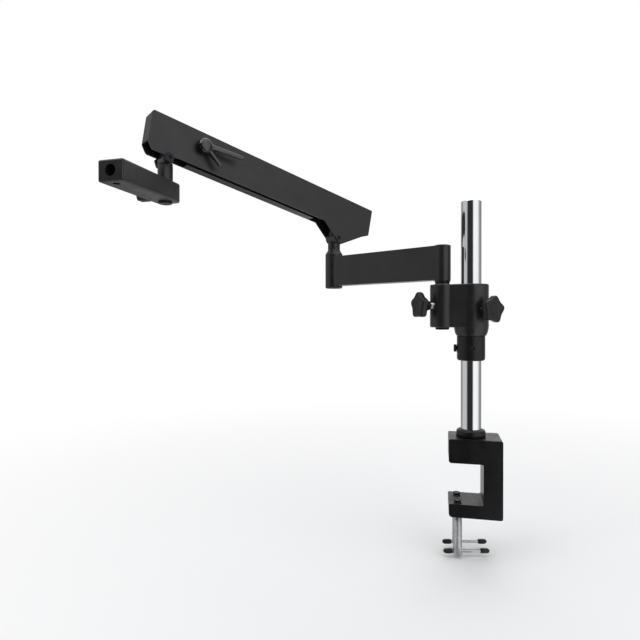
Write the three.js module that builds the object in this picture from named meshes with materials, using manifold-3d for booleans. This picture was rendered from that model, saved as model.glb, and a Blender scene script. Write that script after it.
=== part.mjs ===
// Articulated, spring balanced arm stand with a bench clamp, for a stereo microscope head.
// Millimetres, +Z up. Origin: on the post axis, at the underside of the upper clamp jaw
// (the plane that sits on the bench top). The clamp opens towards -X.
// Azimuths are measured about +Z from +X.
import * as THREE from 'three';
import { mergeVertices } from 'three/addons/utils/BufferGeometryUtils.js';
import Module from 'manifold-3d';

const wasm = await Module();
wasm.setup();

const rad = THREE.MathUtils.degToRad;

// ---------------------------------------------------------------- shared dimensions
// facets round a cylinder
const FINE = 32, LARGE = 28, MEDIUM = 24, SMALL = 20, HEX = 6;

const FIT = 0.05;       // radial clearance of a threaded or fixed part
const SNUG = 0.1;       // radial clearance of a close bore
const RUN = 0.15;       // radial running clearance
const GAP = 0.3;        // gap between faces that rest on each other
const FAR = 40;         // how far a through cutter reaches from its axis

const OPENING = 63;     // bench gap between the jaws
const JAW_T = 37;       // upper jaw thickness
const POST_R = 16;
const PIN_R = 9;        // vertical pivots
const STEM_R = 11.5;    // knuckle stem above its pivot
const LINK_PIN_R = 4;   // horizontal pins and lever stud
const RETAINER_SCREW_R = 3;

const BLOCK_Z0 = 209, BLOCK_Z1 = 277;
const SHOULDER_X = -44.2;   // shoulder pin axis
const LOWER_L = 232.6, LOWER_AZ = rad(149.3);
const COUNTERBORE_Z = 284.6;    // roof of the recess under the elbow

const SPRING_AZ = rad(228.2), SPRING_TILT = rad(13.1);
const SPRING_REACH = 326.1;     // horizontal distance between the knuckle axes
const CHANNEL_Z = 425.4;        // channel frame origin, on the elbow axis
const LINK_H = 38;              // from lift pin up to link pin on both knuckles
const ELBOW_LIFT_Z = 375;
const END_LIFT_DROP = 33.5;     // end lift bolt below the channel frame's X axis
const END_LIFT_Z = CHANNEL_Z
  + (SPRING_REACH * Math.sin(SPRING_TILT) - END_LIFT_DROP) / Math.cos(SPRING_TILT);

const CROSSBAR_AZ = rad(266.8), CROSSBAR_Z0 = 402.4, CROSSBAR_Z1 = 431.8;

const from = ([x, y], length, azimuth) =>
  [x + length * Math.cos(azimuth), y + length * Math.sin(azimuth)];
const ELBOW = from([SHOULDER_X, 0], LOWER_L, LOWER_AZ);
const END = from(ELBOW, SPRING_REACH, SPRING_AZ);

// ---------------------------------------------------------------- materials
const finish = settings => () => new THREE.MeshStandardMaterial(settings);
const black = finish({ color: 0x26272a, roughness: 0.55, metalness: 0.15 });
const darkBlack = finish({ color: 0x17181a, roughness: 0.5, metalness: 0.1 });
const plastic = finish({ color: 0x1c1d1f, roughness: 0.6, metalness: 0.0 });
const chrome = finish({ color: 0xe6e8ea, roughness: 0.08, metalness: 1.0 });
const steel = finish({ color: 0xb9bcc0, roughness: 0.32, metalness: 0.9 });
const blacked = finish({ color: 0x202124, roughness: 0.4, metalness: 0.7 });
const bronze = finish({ color: 0x8a8d92, roughness: 0.5, metalness: 0.3 });

// ---------------------------------------------------------------- solids and scene
// position-only mesh with shared vertices and no collapsed triangles
function clean(geometry) {
  const loose = geometry.index ? geometry.toNonIndexed() : geometry.clone();
  for (const key of Object.keys(loose.attributes)) {
    if (key !== 'position') loose.deleteAttribute(key);
  }
  const merged = mergeVertices(loose, 1e-4);
  const index = merged.index.array;
  const kept = [];
  for (let i = 0; i < index.length; i += 3) {
    const [a, b, c] = index.slice(i, i + 3);
    if (a !== b && b !== c && a !== c) kept.push(a, b, c);
  }
  merged.setIndex(kept);
  return merged;
}
function meshOf(positions, index) {
  const geometry = new THREE.BufferGeometry();
  geometry.setAttribute('position', new THREE.BufferAttribute(new Float32Array(positions), 3));
  geometry.setIndex(index);
  return geometry;
}
function toManifold(geometry) {
  const { attributes, index } = clean(geometry);
  return new wasm.Manifold(new wasm.Mesh({
    numProp: 3,
    vertProperties: Float32Array.from(attributes.position.array),
    triVerts: Uint32Array.from(index.array),
  }));
}
function toGeometry(manifold) {
  const mesh = manifold.getMesh();
  return meshOf(mesh.vertProperties, Array.from(mesh.triVerts));
}
const join = (first, ...others) =>
  toGeometry(others.reduce((sum, g) => sum.add(toManifold(g)), toManifold(first)));
const cut = (body, ...tools) =>
  toGeometry(tools.reduce((rest, g) => rest.subtract(toManifold(g)), toManifold(body)));

function part(parent, name, geometry, material) {
  const cleaned = clean(geometry);
  cleaned.computeVertexNormals();
  const mesh = new THREE.Mesh(cleaned, material());
  mesh.name = name;
  parent.add(mesh);
}
// child frame turned about Z, or pitched so that its +X rises
function frame(parent, [x, y, z], azimuth = 0, pitch = 0) {
  const group = new THREE.Group();
  group.position.set(x, y, z);
  group.rotation.z = azimuth;
  group.rotation.y = -pitch;
  parent.add(group);
  return group;
}

// ---------------------------------------------------------------- shape helpers
const at = (geometry, x, y, z) => geometry.translate(x, y, z);
// lay a shape built along +Z along +X or +Y
const alongX = (geometry, x = 0, z = 0) => at(geometry.rotateY(Math.PI / 2), x, 0, z);
const alongY = (geometry, x = 0, z = 0) => at(geometry.rotateX(-Math.PI / 2), x, 0, z);

// solid of revolution about Z: outer profile of [radius, z] from the bottom up, closed on the
// bore (faces that fall on the axis collapse and are dropped by clean)
function turned(profile, facets = LARGE, bore = 0) {
  const bottom = profile[0][1];
  const closed = [[bore, bottom], ...profile, [bore, profile.at(-1)[1]], [bore, bottom]];
  return new THREE.LatheGeometry(closed.map(([r, z]) => new THREE.Vector2(r, z)), facets)
    .rotateX(Math.PI / 2);
}
const chamferedRing = (bore, radius, z0, z1, chamfer) => turned([
  [radius - chamfer, z0], [radius, z0 + chamfer], [radius, z1 - chamfer], [radius - chamfer, z1],
], FINE, bore);
function cylinder(radius, z0, z1, facets = LARGE, x = 0, y = 0) {
  const geometry = new THREE.CylinderGeometry(radius, radius, z1 - z0, facets);
  return at(geometry.rotateX(Math.PI / 2), x, y, (z0 + z1) / 2);
}
// cylinder along Y, centred on the point [x, z]
const crossPin = ([x, z], radius, y0, y1, facets = MEDIUM) =>
  alongY(cylinder(radius, y0, y1, facets), x, z);
const crossHole = (point, radius) => crossPin(point, radius, -FAR, FAR);
// cutter pointing away from the vertical axis at x
function radialHole(radius, x, azimuth, z, start, facets) {
  const geometry = alongX(cylinder(radius, start, FAR, facets));
  return at(geometry.rotateZ(azimuth), x, 0, z);
}
function box(x0, x1, y0, y1, z0, z1) {
  const geometry = new THREE.BoxGeometry(x1 - x0, y1 - y0, z1 - z0);
  return at(geometry, (x0 + x1) / 2, (y0 + y1) / 2, (z0 + z1) / 2);
}
const arc = (x, y, radius, start, sweep, steps) => Array.from({ length: steps + 1 }, (_, i) =>
  from([x, y], radius, start + sweep * i / steps));
// closed outline whose radius is a function of the angle
const polar = (count, radiusAt, turn = 0, x = 0) => Array.from({ length: count }, (_, i) => {
  const angle = 2 * Math.PI * i / count;
  return from([x, 0], radiusAt(angle), angle + turn);
});
// polygon from [x, y, corner radius]
function rounded(corners, steps = 4) {
  const count = corners.length;
  return corners.flatMap(([x, y, radius = 0], i) => {
    if (!radius) return [[x, y]];
    const corner = new THREE.Vector2(x, y);
    const towards = ([px, py]) => new THREE.Vector2(px - x, py - y).normalize();
    const back = towards(corners[(i + count - 1) % count]);
    const ahead = towards(corners[(i + 1) % count]);
    const half = Math.acos(THREE.MathUtils.clamp(back.dot(ahead), -1, 1)) / 2;
    const trim = radius / Math.tan(half);
    const bisector = back.clone().add(ahead).normalize();
    const centre = corner.clone().addScaledVector(bisector, radius / Math.sin(half));
    const angleOf = side => {
      const tangent = corner.clone().addScaledVector(side, trim);
      return Math.atan2(tangent.y - centre.y, tangent.x - centre.x);
    };
    const start = angleOf(back);
    let sweep = angleOf(ahead) - start;
    if (sweep > Math.PI) sweep -= 2 * Math.PI;
    if (sweep < -Math.PI) sweep += 2 * Math.PI;
    return arc(centre.x, centre.y, radius, start, sweep, steps);
  });
}
// shape without coincident neighbouring points
function shapeOf(outline) {
  const points = outline.map(([x, y]) => new THREE.Vector2(x, y));
  return new THREE.Shape(points.filter((p, i) => p.distanceTo(points.at(i - 1)) > 1e-3));
}
// prism of an x, y outline, with an optional bevelled edge
function prismZ(outline, z0, z1, bevel = 0, bevelSegments = 1) {
  const geometry = new THREE.ExtrudeGeometry(shapeOf(outline), {
    depth: z1 - z0 - 2 * bevel,
    steps: 1,
    curveSegments: 1,
    bevelEnabled: bevel > 0,
    bevelThickness: bevel,
    bevelSize: bevel,
    bevelOffset: -bevel,
    bevelSegments,
  });
  return at(geometry, 0, 0, z0 + bevel);
}
// prism of an x, z outline
const prismY = (outline, y0, y1, bevel = 0) =>
  at(prismZ(outline, 0, y1 - y0, bevel).rotateX(Math.PI / 2), 0, y1, 0);
const raise = (outline, z) => outline.map(([x, y]) => [x, y, z]);
// closed body through rings of equal point count, counter-clockwise seen from the last ring
function loft(rings) {
  const count = rings[0].length;
  const positions = rings.flat(2);
  const index = [];
  for (let k = 0; k + 1 < rings.length; k++) {
    for (let i = 0; i < count; i++) {
      const a = k * count + i;
      const b = k * count + (i + 1) % count;
      index.push(a, b, b + count, a, b + count, a + count);
    }
  }
  const cap = (ring, base, isTop) => {
    const centre = positions.length / 3;
    positions.push(...[0, 1, 2].map(k => ring.reduce((sum, p) => sum + p[k] / count, 0)));
    for (let i = 0; i < count; i++) {
      const a = base + i;
      const b = base + (i + 1) % count;
      index.push(centre, ...(isTop ? [a, b] : [b, a]));
    }
  };
  cap(rings[0], 0, false);
  cap(rings.at(-1), (rings.length - 1) * count, true);
  return meshOf(positions, index);
}

const root = new THREE.Group();
root.name = 'arm_stand';

// ---------------------------------------------------------------- clamp and post
const JAW_X0 = -34.5, JAW_X1 = 45.5, JAW_D = 60, LOW_JAW_T = 20.5;
const THROAT_X = 17;
const POST_BOT = 6.3, POST_TOP = 408;
const SET_SCREW_R = 4, SET_SCREW_Z = 22, SET_SCREW_END = 28.4;
const SCREW_X = -21, SCREW_Y = 17.5, SCREW_R = 7;
const clamp = frame(root, [0, 0, 0]);

function clampFrame() {
  const lowTop = -OPENING;
  const lowBottom = lowTop - LOW_JAW_T;
  // [x, z, corner radius]
  const outline = rounded([
    [JAW_X0, 0, 4], [THROAT_X, 0, 1.5], [THROAT_X, lowTop, 3], [JAW_X0, lowTop, 2],
    [JAW_X0, lowBottom, 4.8], [JAW_X1, lowBottom, 3], [JAW_X1, JAW_T, 3], [JAW_X0, JAW_T, 2.5],
  ], 3);
  const screwHole = y =>
    cylinder(SCREW_R + RUN, lowBottom - 5, lowTop + 5, FINE, SCREW_X, y);
  return cut(
    prismY(outline, -JAW_D / 2, JAW_D / 2, 1.2),
    cylinder(POST_R + SNUG, POST_BOT - GAP, JAW_T + 23),
    screwHole(-SCREW_Y),
    screwHole(SCREW_Y),
    alongY(cylinder(SET_SCREW_R + FIT, 10, FAR, SMALL), 0, SET_SCREW_Z),
  );
}
part(clamp, 'clamp_frame', clampFrame(), darkBlack);
part(clamp, 'post', turned([
  [POST_R - 1, POST_BOT], [POST_R, POST_BOT + 1],
  [POST_R, POST_TOP - 1.5], [POST_R - 1.5, POST_TOP],
]), chrome);

function baseRing() {
  const radius = 23, height = 11.5;
  const z = JAW_T + GAP;
  return turned([
    [radius - 2, z], [radius - 0.5, z + 1.6], [radius, z + 4.6], [radius - 0.7, z + 8],
    [radius - 2.6, z + height - 1], [radius - 4.6, z + height],
  ], LARGE, POST_R + SNUG);
}
part(clamp, 'base_ring', baseRing(), darkBlack);
part(clamp, 'post_set_screw', alongY(cut(
  cylinder(SET_SCREW_R - FIT, POST_R + GAP, SET_SCREW_END, SMALL),
  cylinder(2.3, SET_SCREW_END - 4, SET_SCREW_END + 2, HEX),
), 0, SET_SCREW_Z), blacked);

// ---------------------------------------------------------------- clamp screws
const SCREW_BOT = -148, SCREW_TOP = -OPENING + 0.3;
const SPIGOT_R = 2.5, SPIGOT_L = 8;     // foot spigot inside the screw
const BAR_Z = -140, BAR_AZ = rad(12.6), BAR_R = 2.5;
const BAR_HALF = 36;                    // to the outside of a cap
const CAP_L = 14.5, CAP_R = 3.9, CAP_FLOOR = 2.2;

function pressureFoot() {
  const z = SCREW_TOP + GAP;
  const top = -OPENING + 3.5;
  return turned([
    [SPIGOT_R, SCREW_TOP - SPIGOT_L], [SPIGOT_R, z], [5.6, z], [6.2, z + 0.6],
    [6.2, top - 0.8], [5.4, top],
  ], MEDIUM);
}
function clampScrew() {
  const socketR = SPIGOT_R + GAP;
  const socketZ = SCREW_TOP - SPIGOT_L - 0.5;
  return cut(
    turned([
      [3.4, SCREW_BOT], [5.6, SCREW_BOT + 1.4], [SCREW_R, SCREW_BOT + 3.8],
      [SCREW_R, SCREW_TOP - 0.8], [SCREW_R - 0.8, SCREW_TOP], [socketR, SCREW_TOP],
      [socketR, socketZ],
    ], FINE),
    alongX(cylinder(BAR_R + RUN, -12, 12, SMALL), 0, BAR_Z),
  );
}
function tommyBar() {
  const end = BAR_HALF - CAP_FLOOR - 0.2;
  return turned([[BAR_R, -end], [BAR_R, end]], SMALL);
}
// hollow cap, closed end at the origin, opening towards +X
function barCap() {
  return alongX(turned([
    [0, 0], [1.7, 0.25], [2.9, 1.3], [3.7, 3.4], [CAP_R, 6], [CAP_R, CAP_L - 3.5],
    [3.3, CAP_L], [BAR_R + FIT, CAP_L], [BAR_R + FIT, CAP_FLOOR],
  ], SMALL));
}
// [name, y, how far the bar has slid along its hole]
for (const [tag, y, shift] of [['front', -SCREW_Y, 14.0], ['back', SCREW_Y, 12.7]]) {
  const screw = frame(clamp, [SCREW_X, y, 0], BAR_AZ);
  part(screw, `${tag}_pressure_foot`, pressureFoot(), blacked);
  part(screw, `${tag}_clamp_screw`, clampScrew(), steel);
  part(screw, `${tag}_tommy_bar`, alongX(tommyBar(), shift, BAR_Z), steel);
  for (const [side, end, turn] of [['left', -BAR_HALF, 0], ['right', BAR_HALF, Math.PI]]) {
    const cap = at(barCap().rotateZ(turn), shift + end, 0, BAR_Z);
    part(screw, `${tag}_bar_cap_${side}`, cap, plastic);
  }
}

// ---------------------------------------------------------------- safety collar
const COLLAR_R = 21.7, COLLAR_Z0 = 157, COLLAR_Z1 = 195.7;
const COLLAR_SCREW_Z = 176, COLLAR_SCREW_R = 3;
const THUMB_AZ = rad(176), COLLAR_SET_AZ = rad(-84);
{
  const hole = azimuth =>
    radialHole(COLLAR_SCREW_R + SNUG, 0, azimuth, COLLAR_SCREW_Z, 10, SMALL);
  part(root, 'safety_collar', cut(
    turned([
      [COLLAR_R - 3, COLLAR_Z0], [COLLAR_R - 1, COLLAR_Z0 + 1], [COLLAR_R, COLLAR_Z0 + 3],
      [COLLAR_R, COLLAR_Z1 - 0.8], [COLLAR_R - 0.8, COLLAR_Z1],
    ], LARGE, POST_R + RUN),
    hole(THUMB_AZ),
    hole(COLLAR_SET_AZ),
  ), darkBlack);

  const tip = POST_R + GAP;
  const setScrew = frame(root, [0, 0, COLLAR_SCREW_Z], COLLAR_SET_AZ);
  part(setScrew, 'collar_set_screw', alongX(cut(
    cylinder(COLLAR_SCREW_R, tip, COLLAR_R + 0.2, SMALL),
    cylinder(1.7, COLLAR_R - 2.4, FAR, HEX),
  )), blacked);

  const thumbScrew = frame(root, [0, 0, COLLAR_SCREW_Z], THUMB_AZ);
  const face = COLLAR_R + GAP;
  part(thumbScrew, 'collar_thumb_screw', alongX(turned([
    [COLLAR_SCREW_R, tip], [COLLAR_SCREW_R, face], [5.6, face], [6, face + 0.5],
    [6, face + 3.6], [5, face + 4.5],
  ], SMALL)), plastic);
}

// ---------------------------------------------------------------- pillar block and its knobs
const POST_LOBE_R = 27, SHOULDER_LOBE_R = 19.4, BOSS_Z0 = 196;
const WEB_AZ = rad(111);    // direction the flat web between the two lobes faces
const STUD_R = 5, STUD_DEPTH = 18.2;
// seat: start of the wide recess; face: near end of the grip; tip: inner end of the stud
const KNOBS = [
  { name: 'post_knob', x: 0, z: 236.8, azimuth: rad(-48),
    seat: 24.4, face: 27, tip: POST_R + GAP, turn: rad(170) },
  { name: 'shoulder_knob', x: SHOULDER_X, z: 243.5, azimuth: rad(211),
    seat: 16.9, face: 23.9, tip: PIN_R + GAP, turn: rad(180) },
];

function pillarBlock() {
  // [axis x, radius, z]
  const boss = loft([
    [2.6, 22.6, BOSS_Z0], [2.4, 24, BOSS_Z0 + 1.4], [1.6, 25, BOSS_Z0 + 5],
    [0.2, 26.6, BOSS_Z0 + 12], [0, 26.6, BLOCK_Z0 + 6],
  ].map(([x, radius, z]) => raise(polar(LARGE, () => radius, 0, x), z)));
  // the web's flat faces touch the post lobe and meet the smaller lobe at a shallow corner
  const meet = WEB_AZ
    - Math.acos((POST_LOBE_R - SHOULDER_X * Math.cos(WEB_AZ)) / SHOULDER_LOBE_R);
  const outline = [
    ...arc(0, 0, POST_LOBE_R, -WEB_AZ, 2 * WEB_AZ, 18),
    ...arc(SHOULDER_X, 0, SHOULDER_LOBE_R, meet, 2 * (Math.PI - meet), 16),
  ];
  return cut(
    join(prismZ(outline, BLOCK_Z0, BLOCK_Z1, 2), boss),
    cylinder(POST_R + RUN, 180, 300),
    cylinder(PIN_R + RUN, 180, 300, LARGE, SHOULDER_X),
    ...KNOBS.flatMap(({ x, azimuth, z, seat }) => [
      radialHole(STUD_R + SNUG, x, azimuth, z, 8, MEDIUM),
      radialHole(8.5, x, azimuth, z, seat, MEDIUM),
    ]),
  );
}
part(root, 'pillar_block', pillarBlock(), black);

// five cornered grip with a tapered back and a short hub, along +X from the hub face
function starGrip(turn) {
  const star = angle => 18.9 + 2.1 * Math.cos(5 * angle) + 0.25 * Math.cos(10 * angle);
  // [round radius, share of the star, inset of the star, distance from the hub face]
  const stations = [
    [6.9, 0, 0, 0], [7.3, 0, 0, 1], [8.7, 0, 0, 6], [5.5, 0.45, 2, 9.4],
    [0, 1, 1.4, 12], [0, 1, 0, 13.6], [0, 1, 0, 20.6], [0, 1, 2, 22.5],
  ];
  const head = loft(stations.map(([round, share, inset, z]) =>
    raise(polar(40, angle => round + share * (star(angle) - inset), turn), z)));
  return alongX(cut(head, cylinder(STUD_R + FIT, -5, STUD_DEPTH + GAP, MEDIUM)));
}
for (const { name, x, z, azimuth, face, tip, turn } of KNOBS) {
  const knob = frame(root, [x, 0, z], azimuth);
  part(knob, `${name}_grip`, at(starGrip(turn), face, 0, 0), plastic);
  part(knob, `${name}_stud`, alongX(turned([
    [3.4, tip], [STUD_R, tip + 1.6], [STUD_R, face + STUD_DEPTH],
  ], MEDIUM)), chrome);
}

// ---------------------------------------------------------------- pivot parts
// disc with a screw standing on it, that holds a pivot from below
const retainer = (profile, screwTop) => join(
  turned(profile, FINE),
  cylinder(RETAINER_SCREW_R, profile[0][1] + 1, screwTop, SMALL),
);
const retainerHole = (z0, z1) => cylinder(RETAINER_SCREW_R + FIT, z0, z1, SMALL);
const washer = (radius, z0, z1) => turned([[radius, z0], [radius, z1]], LARGE, PIN_R + GAP);

// pivot stem with a cross barrel for the lift pin and a lug for the link pin
// lug: [half width at the foot, half width at the top, corner radius]
function knuckle({ bottom, shoulder, stemTop, liftZ, barrelR, lug, screwHoleTop }) {
  const linkZ = liftZ + LINK_H;
  const [foot, head, corner] = lug;
  const stem = turned([
    [PIN_R, bottom], [PIN_R, shoulder], [STEM_R, shoulder], [STEM_R, stemTop],
  ]);
  const lugOutline = rounded([
    [-foot, liftZ], [foot, liftZ], [head, linkZ + 8, corner], [-head, linkZ + 8, corner],
  ], 5);
  return cut(
    join(stem, crossPin([0, liftZ], barrelR, -13.2, 13.2, FINE), prismY(lugOutline, -5, 5)),
    crossHole([0, liftZ], LINK_PIN_R + RUN),
    crossHole([0, linkZ], LINK_PIN_R + FIT),
    retainerHole(bottom - 10, screwHoleTop),
  );
}

// ---------------------------------------------------------------- lower arm
// frame: Z is the shoulder axis, X runs along the arm to the elbow
const LOWER_W = 25, LOWER_Z0 = 284.4, LOWER_Z1 = 339.2;
const SHOULDER_BORE_TOP = 330, ELBOW_R = 16.3, ELBOW_TOP = 352;
const lower = frame(root, [SHOULDER_X, 0, 0], LOWER_AZ);

function lowerArm() {
  const half = LOWER_W / 2;
  const beam = [
    ...arc(LOWER_L, 0, half, -Math.PI / 2, Math.PI, 8),
    ...arc(0, 0, half, Math.PI / 2, Math.PI, 8),
  ];
  const shoulderBoss = turned([
    [10.8, 278.3], [12.9, LOWER_Z0 - 0.5], [13.1, LOWER_Z0 + 1], [13.1, LOWER_Z1],
    [11.9, LOWER_Z1 + 1.2],
  ]);
  const elbowBoss = turned([
    [ELBOW_R - 2, 280], [ELBOW_R - 0.6, 280.6], [ELBOW_R, 282], [ELBOW_R, 344.4],
    [ELBOW_R - 0.6, 345.4], [STEM_R + 0.4, 351.6], [STEM_R - 0.4, ELBOW_TOP],
  ]);
  return cut(
    join(prismZ(beam, LOWER_Z0, LOWER_Z1, 1.4), shoulderBoss, at(elbowBoss, LOWER_L, 0, 0)),
    cylinder(PIN_R + SNUG, 270, SHOULDER_BORE_TOP),
    cylinder(PIN_R + RUN, 270, 360, LARGE, LOWER_L),
    cylinder(13, 270, COUNTERBORE_Z, LARGE, LOWER_L),
  );
}
part(lower, 'lower_arm', lowerArm(), black);
{
  const pinTop = SHOULDER_BORE_TOP - GAP;
  part(lower, 'shoulder_pin', cut(
    turned([
      [PIN_R - 0.6, 209.05], [PIN_R, 209.7], [PIN_R, pinTop - 0.7], [PIN_R - 0.8, pinTop],
    ]),
    retainerHole(200, 224),
  ), steel);
  part(lower, 'shoulder_washer', washer(12.4, BLOCK_Z1 + GAP, BLOCK_Z1 + 1), bronze);
  part(lower, 'shoulder_retainer',
    retainer([[9.6, 205.2], [11, 206.4], [11, BLOCK_Z0 - GAP]], 222), blacked);
  part(lower, 'elbow_washer',
    at(washer(11.8, ELBOW_TOP + 0.2, ELBOW_TOP + 0.7), LOWER_L, 0, 0), bronze);
}

// ---------------------------------------------------------------- elbow knuckle
const elbow = frame(root, [...ELBOW, 0], SPRING_AZ);
part(elbow, 'elbow_knuckle', knuckle({
  bottom: COUNTERBORE_Z + GAP, shoulder: ELBOW_TOP + 1, stemTop: 368,
  liftZ: ELBOW_LIFT_Z, barrelR: 10.5, lug: [9, 8.5, 8], screwHoleTop: 300,
}), black);
part(elbow, 'elbow_retainer',
  retainer([[11.6, 280.6], [12.4, 281.4], [12.4, COUNTERBORE_Z - GAP]], 298), blacked);
part(elbow, 'elbow_link_pin',
  crossPin([0, ELBOW_LIFT_Z + LINK_H], LINK_PIN_R, -9.6, 11.2), steel);

// ---------------------------------------------------------------- spring arm channel
// channel frame: X along the arm, Y towards the lever side, Z up the cheeks
const channel = frame(elbow, [0, 0, CHANNEL_Z], 0, SPRING_TILT);
const CHEEK = 15.5;             // outer face of a cheek
const INSIDE = CHEEK - 2;       // inner face, one sheet thickness in
const LEVER = [279, 5];         // lever stud axis

// [x, z] in the channel frame of a point given by its horizontal distance and height
function inChannel(distance, height) {
  const cos = Math.cos(SPRING_TILT);
  const sin = Math.sin(SPRING_TILT);
  const rise = height - CHANNEL_Z;
  return [distance * cos + rise * sin, rise * cos - distance * sin];
}
const ELBOW_LIFT = inChannel(0, ELBOW_LIFT_Z);
const ELBOW_LINK = inChannel(0, ELBOW_LIFT_Z + LINK_H);
const END_LIFT = inChannel(SPRING_REACH, END_LIFT_Z);
const END_LINK = inChannel(SPRING_REACH, END_LIFT_Z + LINK_H);

function armChannel() {
  // [x, z, corner radius]
  const side = rounded([
    [-78.5, 28, 1.5], [-80, -22.5, 2], [-65.6, -29.3, 4], [-17.5, -60.5, 2.5],
    [21.2, -32.6, 3], [27, -28.2, 3], [312, -28.2, 3], [335, -31.2, 6],
    [354, -31, 6], [362.5, -20, 6], [366, 28, 4],
  ], 3);
  const hollow = [[-80, -90], [355.4, -90], [363.85, 26], [-76.5, 26]];
  const outer = join(
    prismY(side, -CHEEK, CHEEK),
    crossPin(END_LIFT, 8.4, -CHEEK, CHEEK, FINE),
  );
  // folded end walls stop short of the lower corners
  const shell = cut(
    outer,
    prismY(hollow, -INSIDE, INSIDE),
    box(340, 372, -INSIDE, INSIDE, -90, -18.5),
    box(-90, -70, -INSIDE, INSIDE, -90, -23),
  );
  // the long lip runs along the bottom, from the -Y cheek
  const lip = box(45, 294, -CHEEK + 0.6, 3.2, -28.2, -26.4);
  return cut(
    join(shell, lip),
    crossHole(ELBOW_LIFT, LINK_PIN_R + FIT),
    crossHole(END_LIFT, LINK_PIN_R + FIT),
    crossPin(LEVER, LINK_PIN_R + GAP, 5, FAR),
  );
}
part(channel, 'arm_channel', armChannel(), black);
part(channel, 'elbow_lift_pin', cut(
  crossPin(ELBOW_LIFT, LINK_PIN_R, -CHEEK + 0.2, CHEEK - 0.2),
  crossPin(ELBOW_LIFT, 2, CHEEK - 2.4, CHEEK + 5, HEX),
), blacked);
part(channel, 'end_lift_bolt', alongY(cut(
  turned([
    [3.2, -CHEEK - 6.8], [LINK_PIN_R, -CHEEK - 6], [LINK_PIN_R, CHEEK + GAP],
    [7.3, CHEEK + GAP], [7.5, CHEEK + 0.8], [7.5, CHEEK + 3.8], [6.6, CHEEK + 4.6],
  ]),
  cylinder(3.4, CHEEK + 1.4, CHEEK + 9, HEX),
), ...END_LIFT), blacked);
part(channel, 'end_lift_nut', alongY(cut(
  turned([
    [9.8, -CHEEK - 6], [11, -CHEEK - 5], [11, -CHEEK - GAP],
  ], HEX),
  cylinder(LINK_PIN_R + FIT, -FAR, 0, MEDIUM),
), ...END_LIFT), blacked);

// ---------------------------------------------------------------- tie link
// flat bar between the link pins, with the slot that the lever stud passes through
{
  const [startX, startZ] = ELBOW_LINK;
  const dx = END_LINK[0] - startX;
  const dz = END_LINK[1] - startZ;
  const length = Math.hypot(dx, dz);
  const pitch = Math.atan2(dz, dx);
  const tie = frame(channel, [startX, 0, startZ], 0, pitch);
  // [x, z, corner radius]
  const outline = rounded([
    [-8, -8, 7.6], [236, -7.4, 5], [320, -8, 4], [length + 8, -8, 7.6],
    [length + 8, 8, 7.6], [328, 8, 4], [316, 20.2, 4], [252, 20.2, 4],
    [240, 7, 5], [-8, 8, 7.6],
  ]);
  const slotX = LEVER[0] - startX;
  const slotZ = LEVER[1] - startZ - slotX * Math.tan(pitch);
  const slot = rounded([
    [slotX - 20, slotZ - 6, 5], [slotX + 31, slotZ - 6, 5],
    [slotX + 31, slotZ + 12, 5], [slotX - 20, slotZ + 12, 5],
  ]);
  part(tie, 'tie_link', cut(
    prismY(outline, 6.5, 10.5),
    prismY(slot, 0, 20),
    crossHole([0, 0], LINK_PIN_R + RUN),
    crossHole([length, 0], LINK_PIN_R + 0.5),
  ), steel);
}

// ---------------------------------------------------------------- friction lock
const BRAKE_R = 12.2, STUD_END = 29.5;
part(channel, 'brake_spacer',
  alongY(chamferedRing(LINK_PIN_R + GAP, BRAKE_R, 10.8, INSIDE - GAP, 0.4), ...LEVER), steel);
part(channel, 'brake_nut',
  alongY(chamferedRing(LINK_PIN_R + FIT, BRAKE_R, 1.6, 6.2, 0.8), ...LEVER), steel);

// tapered bar with a flattened section and a blunt tip; x, y and radius are [root, tip] pairs
// and the direction is [x, z]
function limb({ direction, x, y, radius }) {
  const flatness = 0.85, tipScale = 0.55, sections = 5;
  const { lerp } = THREE.MathUtils;
  const ring = (along, across, size) => Array.from({ length: 12 }, (_, i) => {
    const angle = 2 * Math.PI * i / 12;
    return [along, across + size * flatness * Math.cos(angle), size * Math.sin(angle)];
  });
  const rings = Array.from({ length: sections + 1 }, (_, i) =>
    ring(...[x, y, radius].map(([start, end]) => lerp(start, end, i / sections))));
  rings.push(ring(x[1] + radius[1] * 0.7, y[1], radius[1] * tipScale));
  return loft(rings).rotateY(-Math.atan2(direction[1], direction[0]));
}
function lockLever() {
  const hub = alongY(turned([
    [11, CHEEK + GAP], [12, CHEEK + 1.4], [12.2, 24], [11.3, 27.8], [9.2, 30.8],
    [5.2, 32.6], [0, 33.1],
  ]));
  // the handle runs back towards the elbow, the short spur lies below it
  const handle = limb({ direction: [-1, 0.045], x: [4, 60.5], y: [26, 32.5], radius: [5.6, 3.3] });
  const spur = limb({
    direction: [-0.777, -0.63], x: [4, 36.5], y: [25.4, 29.5], radius: [4.6, 3.5],
  });
  const hole = crossPin([0, 0], LINK_PIN_R + FIT, 0, STUD_END + GAP);
  return cut(join(hub, handle, spur), hole);
}
const lever = frame(channel, [LEVER[0], 0, LEVER[1]]);
part(lever, 'lever_stud', crossPin([0, 0], LINK_PIN_R, 0.6, STUD_END), steel);
part(lever, 'lock_lever', lockLever(), blacked);

// ---------------------------------------------------------------- counterbalance
// seat fixed in the channel, draw rod hooked on the elbow link pin, spring and nut
const ROD_R = 3, ROD_Y = -5;
part(channel, 'spring_seat', cut(
  box(88, 95, -INSIDE + GAP, 5.6, -14, 25.6),
  box(80, 100, -9.6, -0.4, -17.5, -4),
), steel);
const rod = frame(channel, [ELBOW_LINK[0], 0, ELBOW_LINK[1]], 0, rad(1.2));

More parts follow.
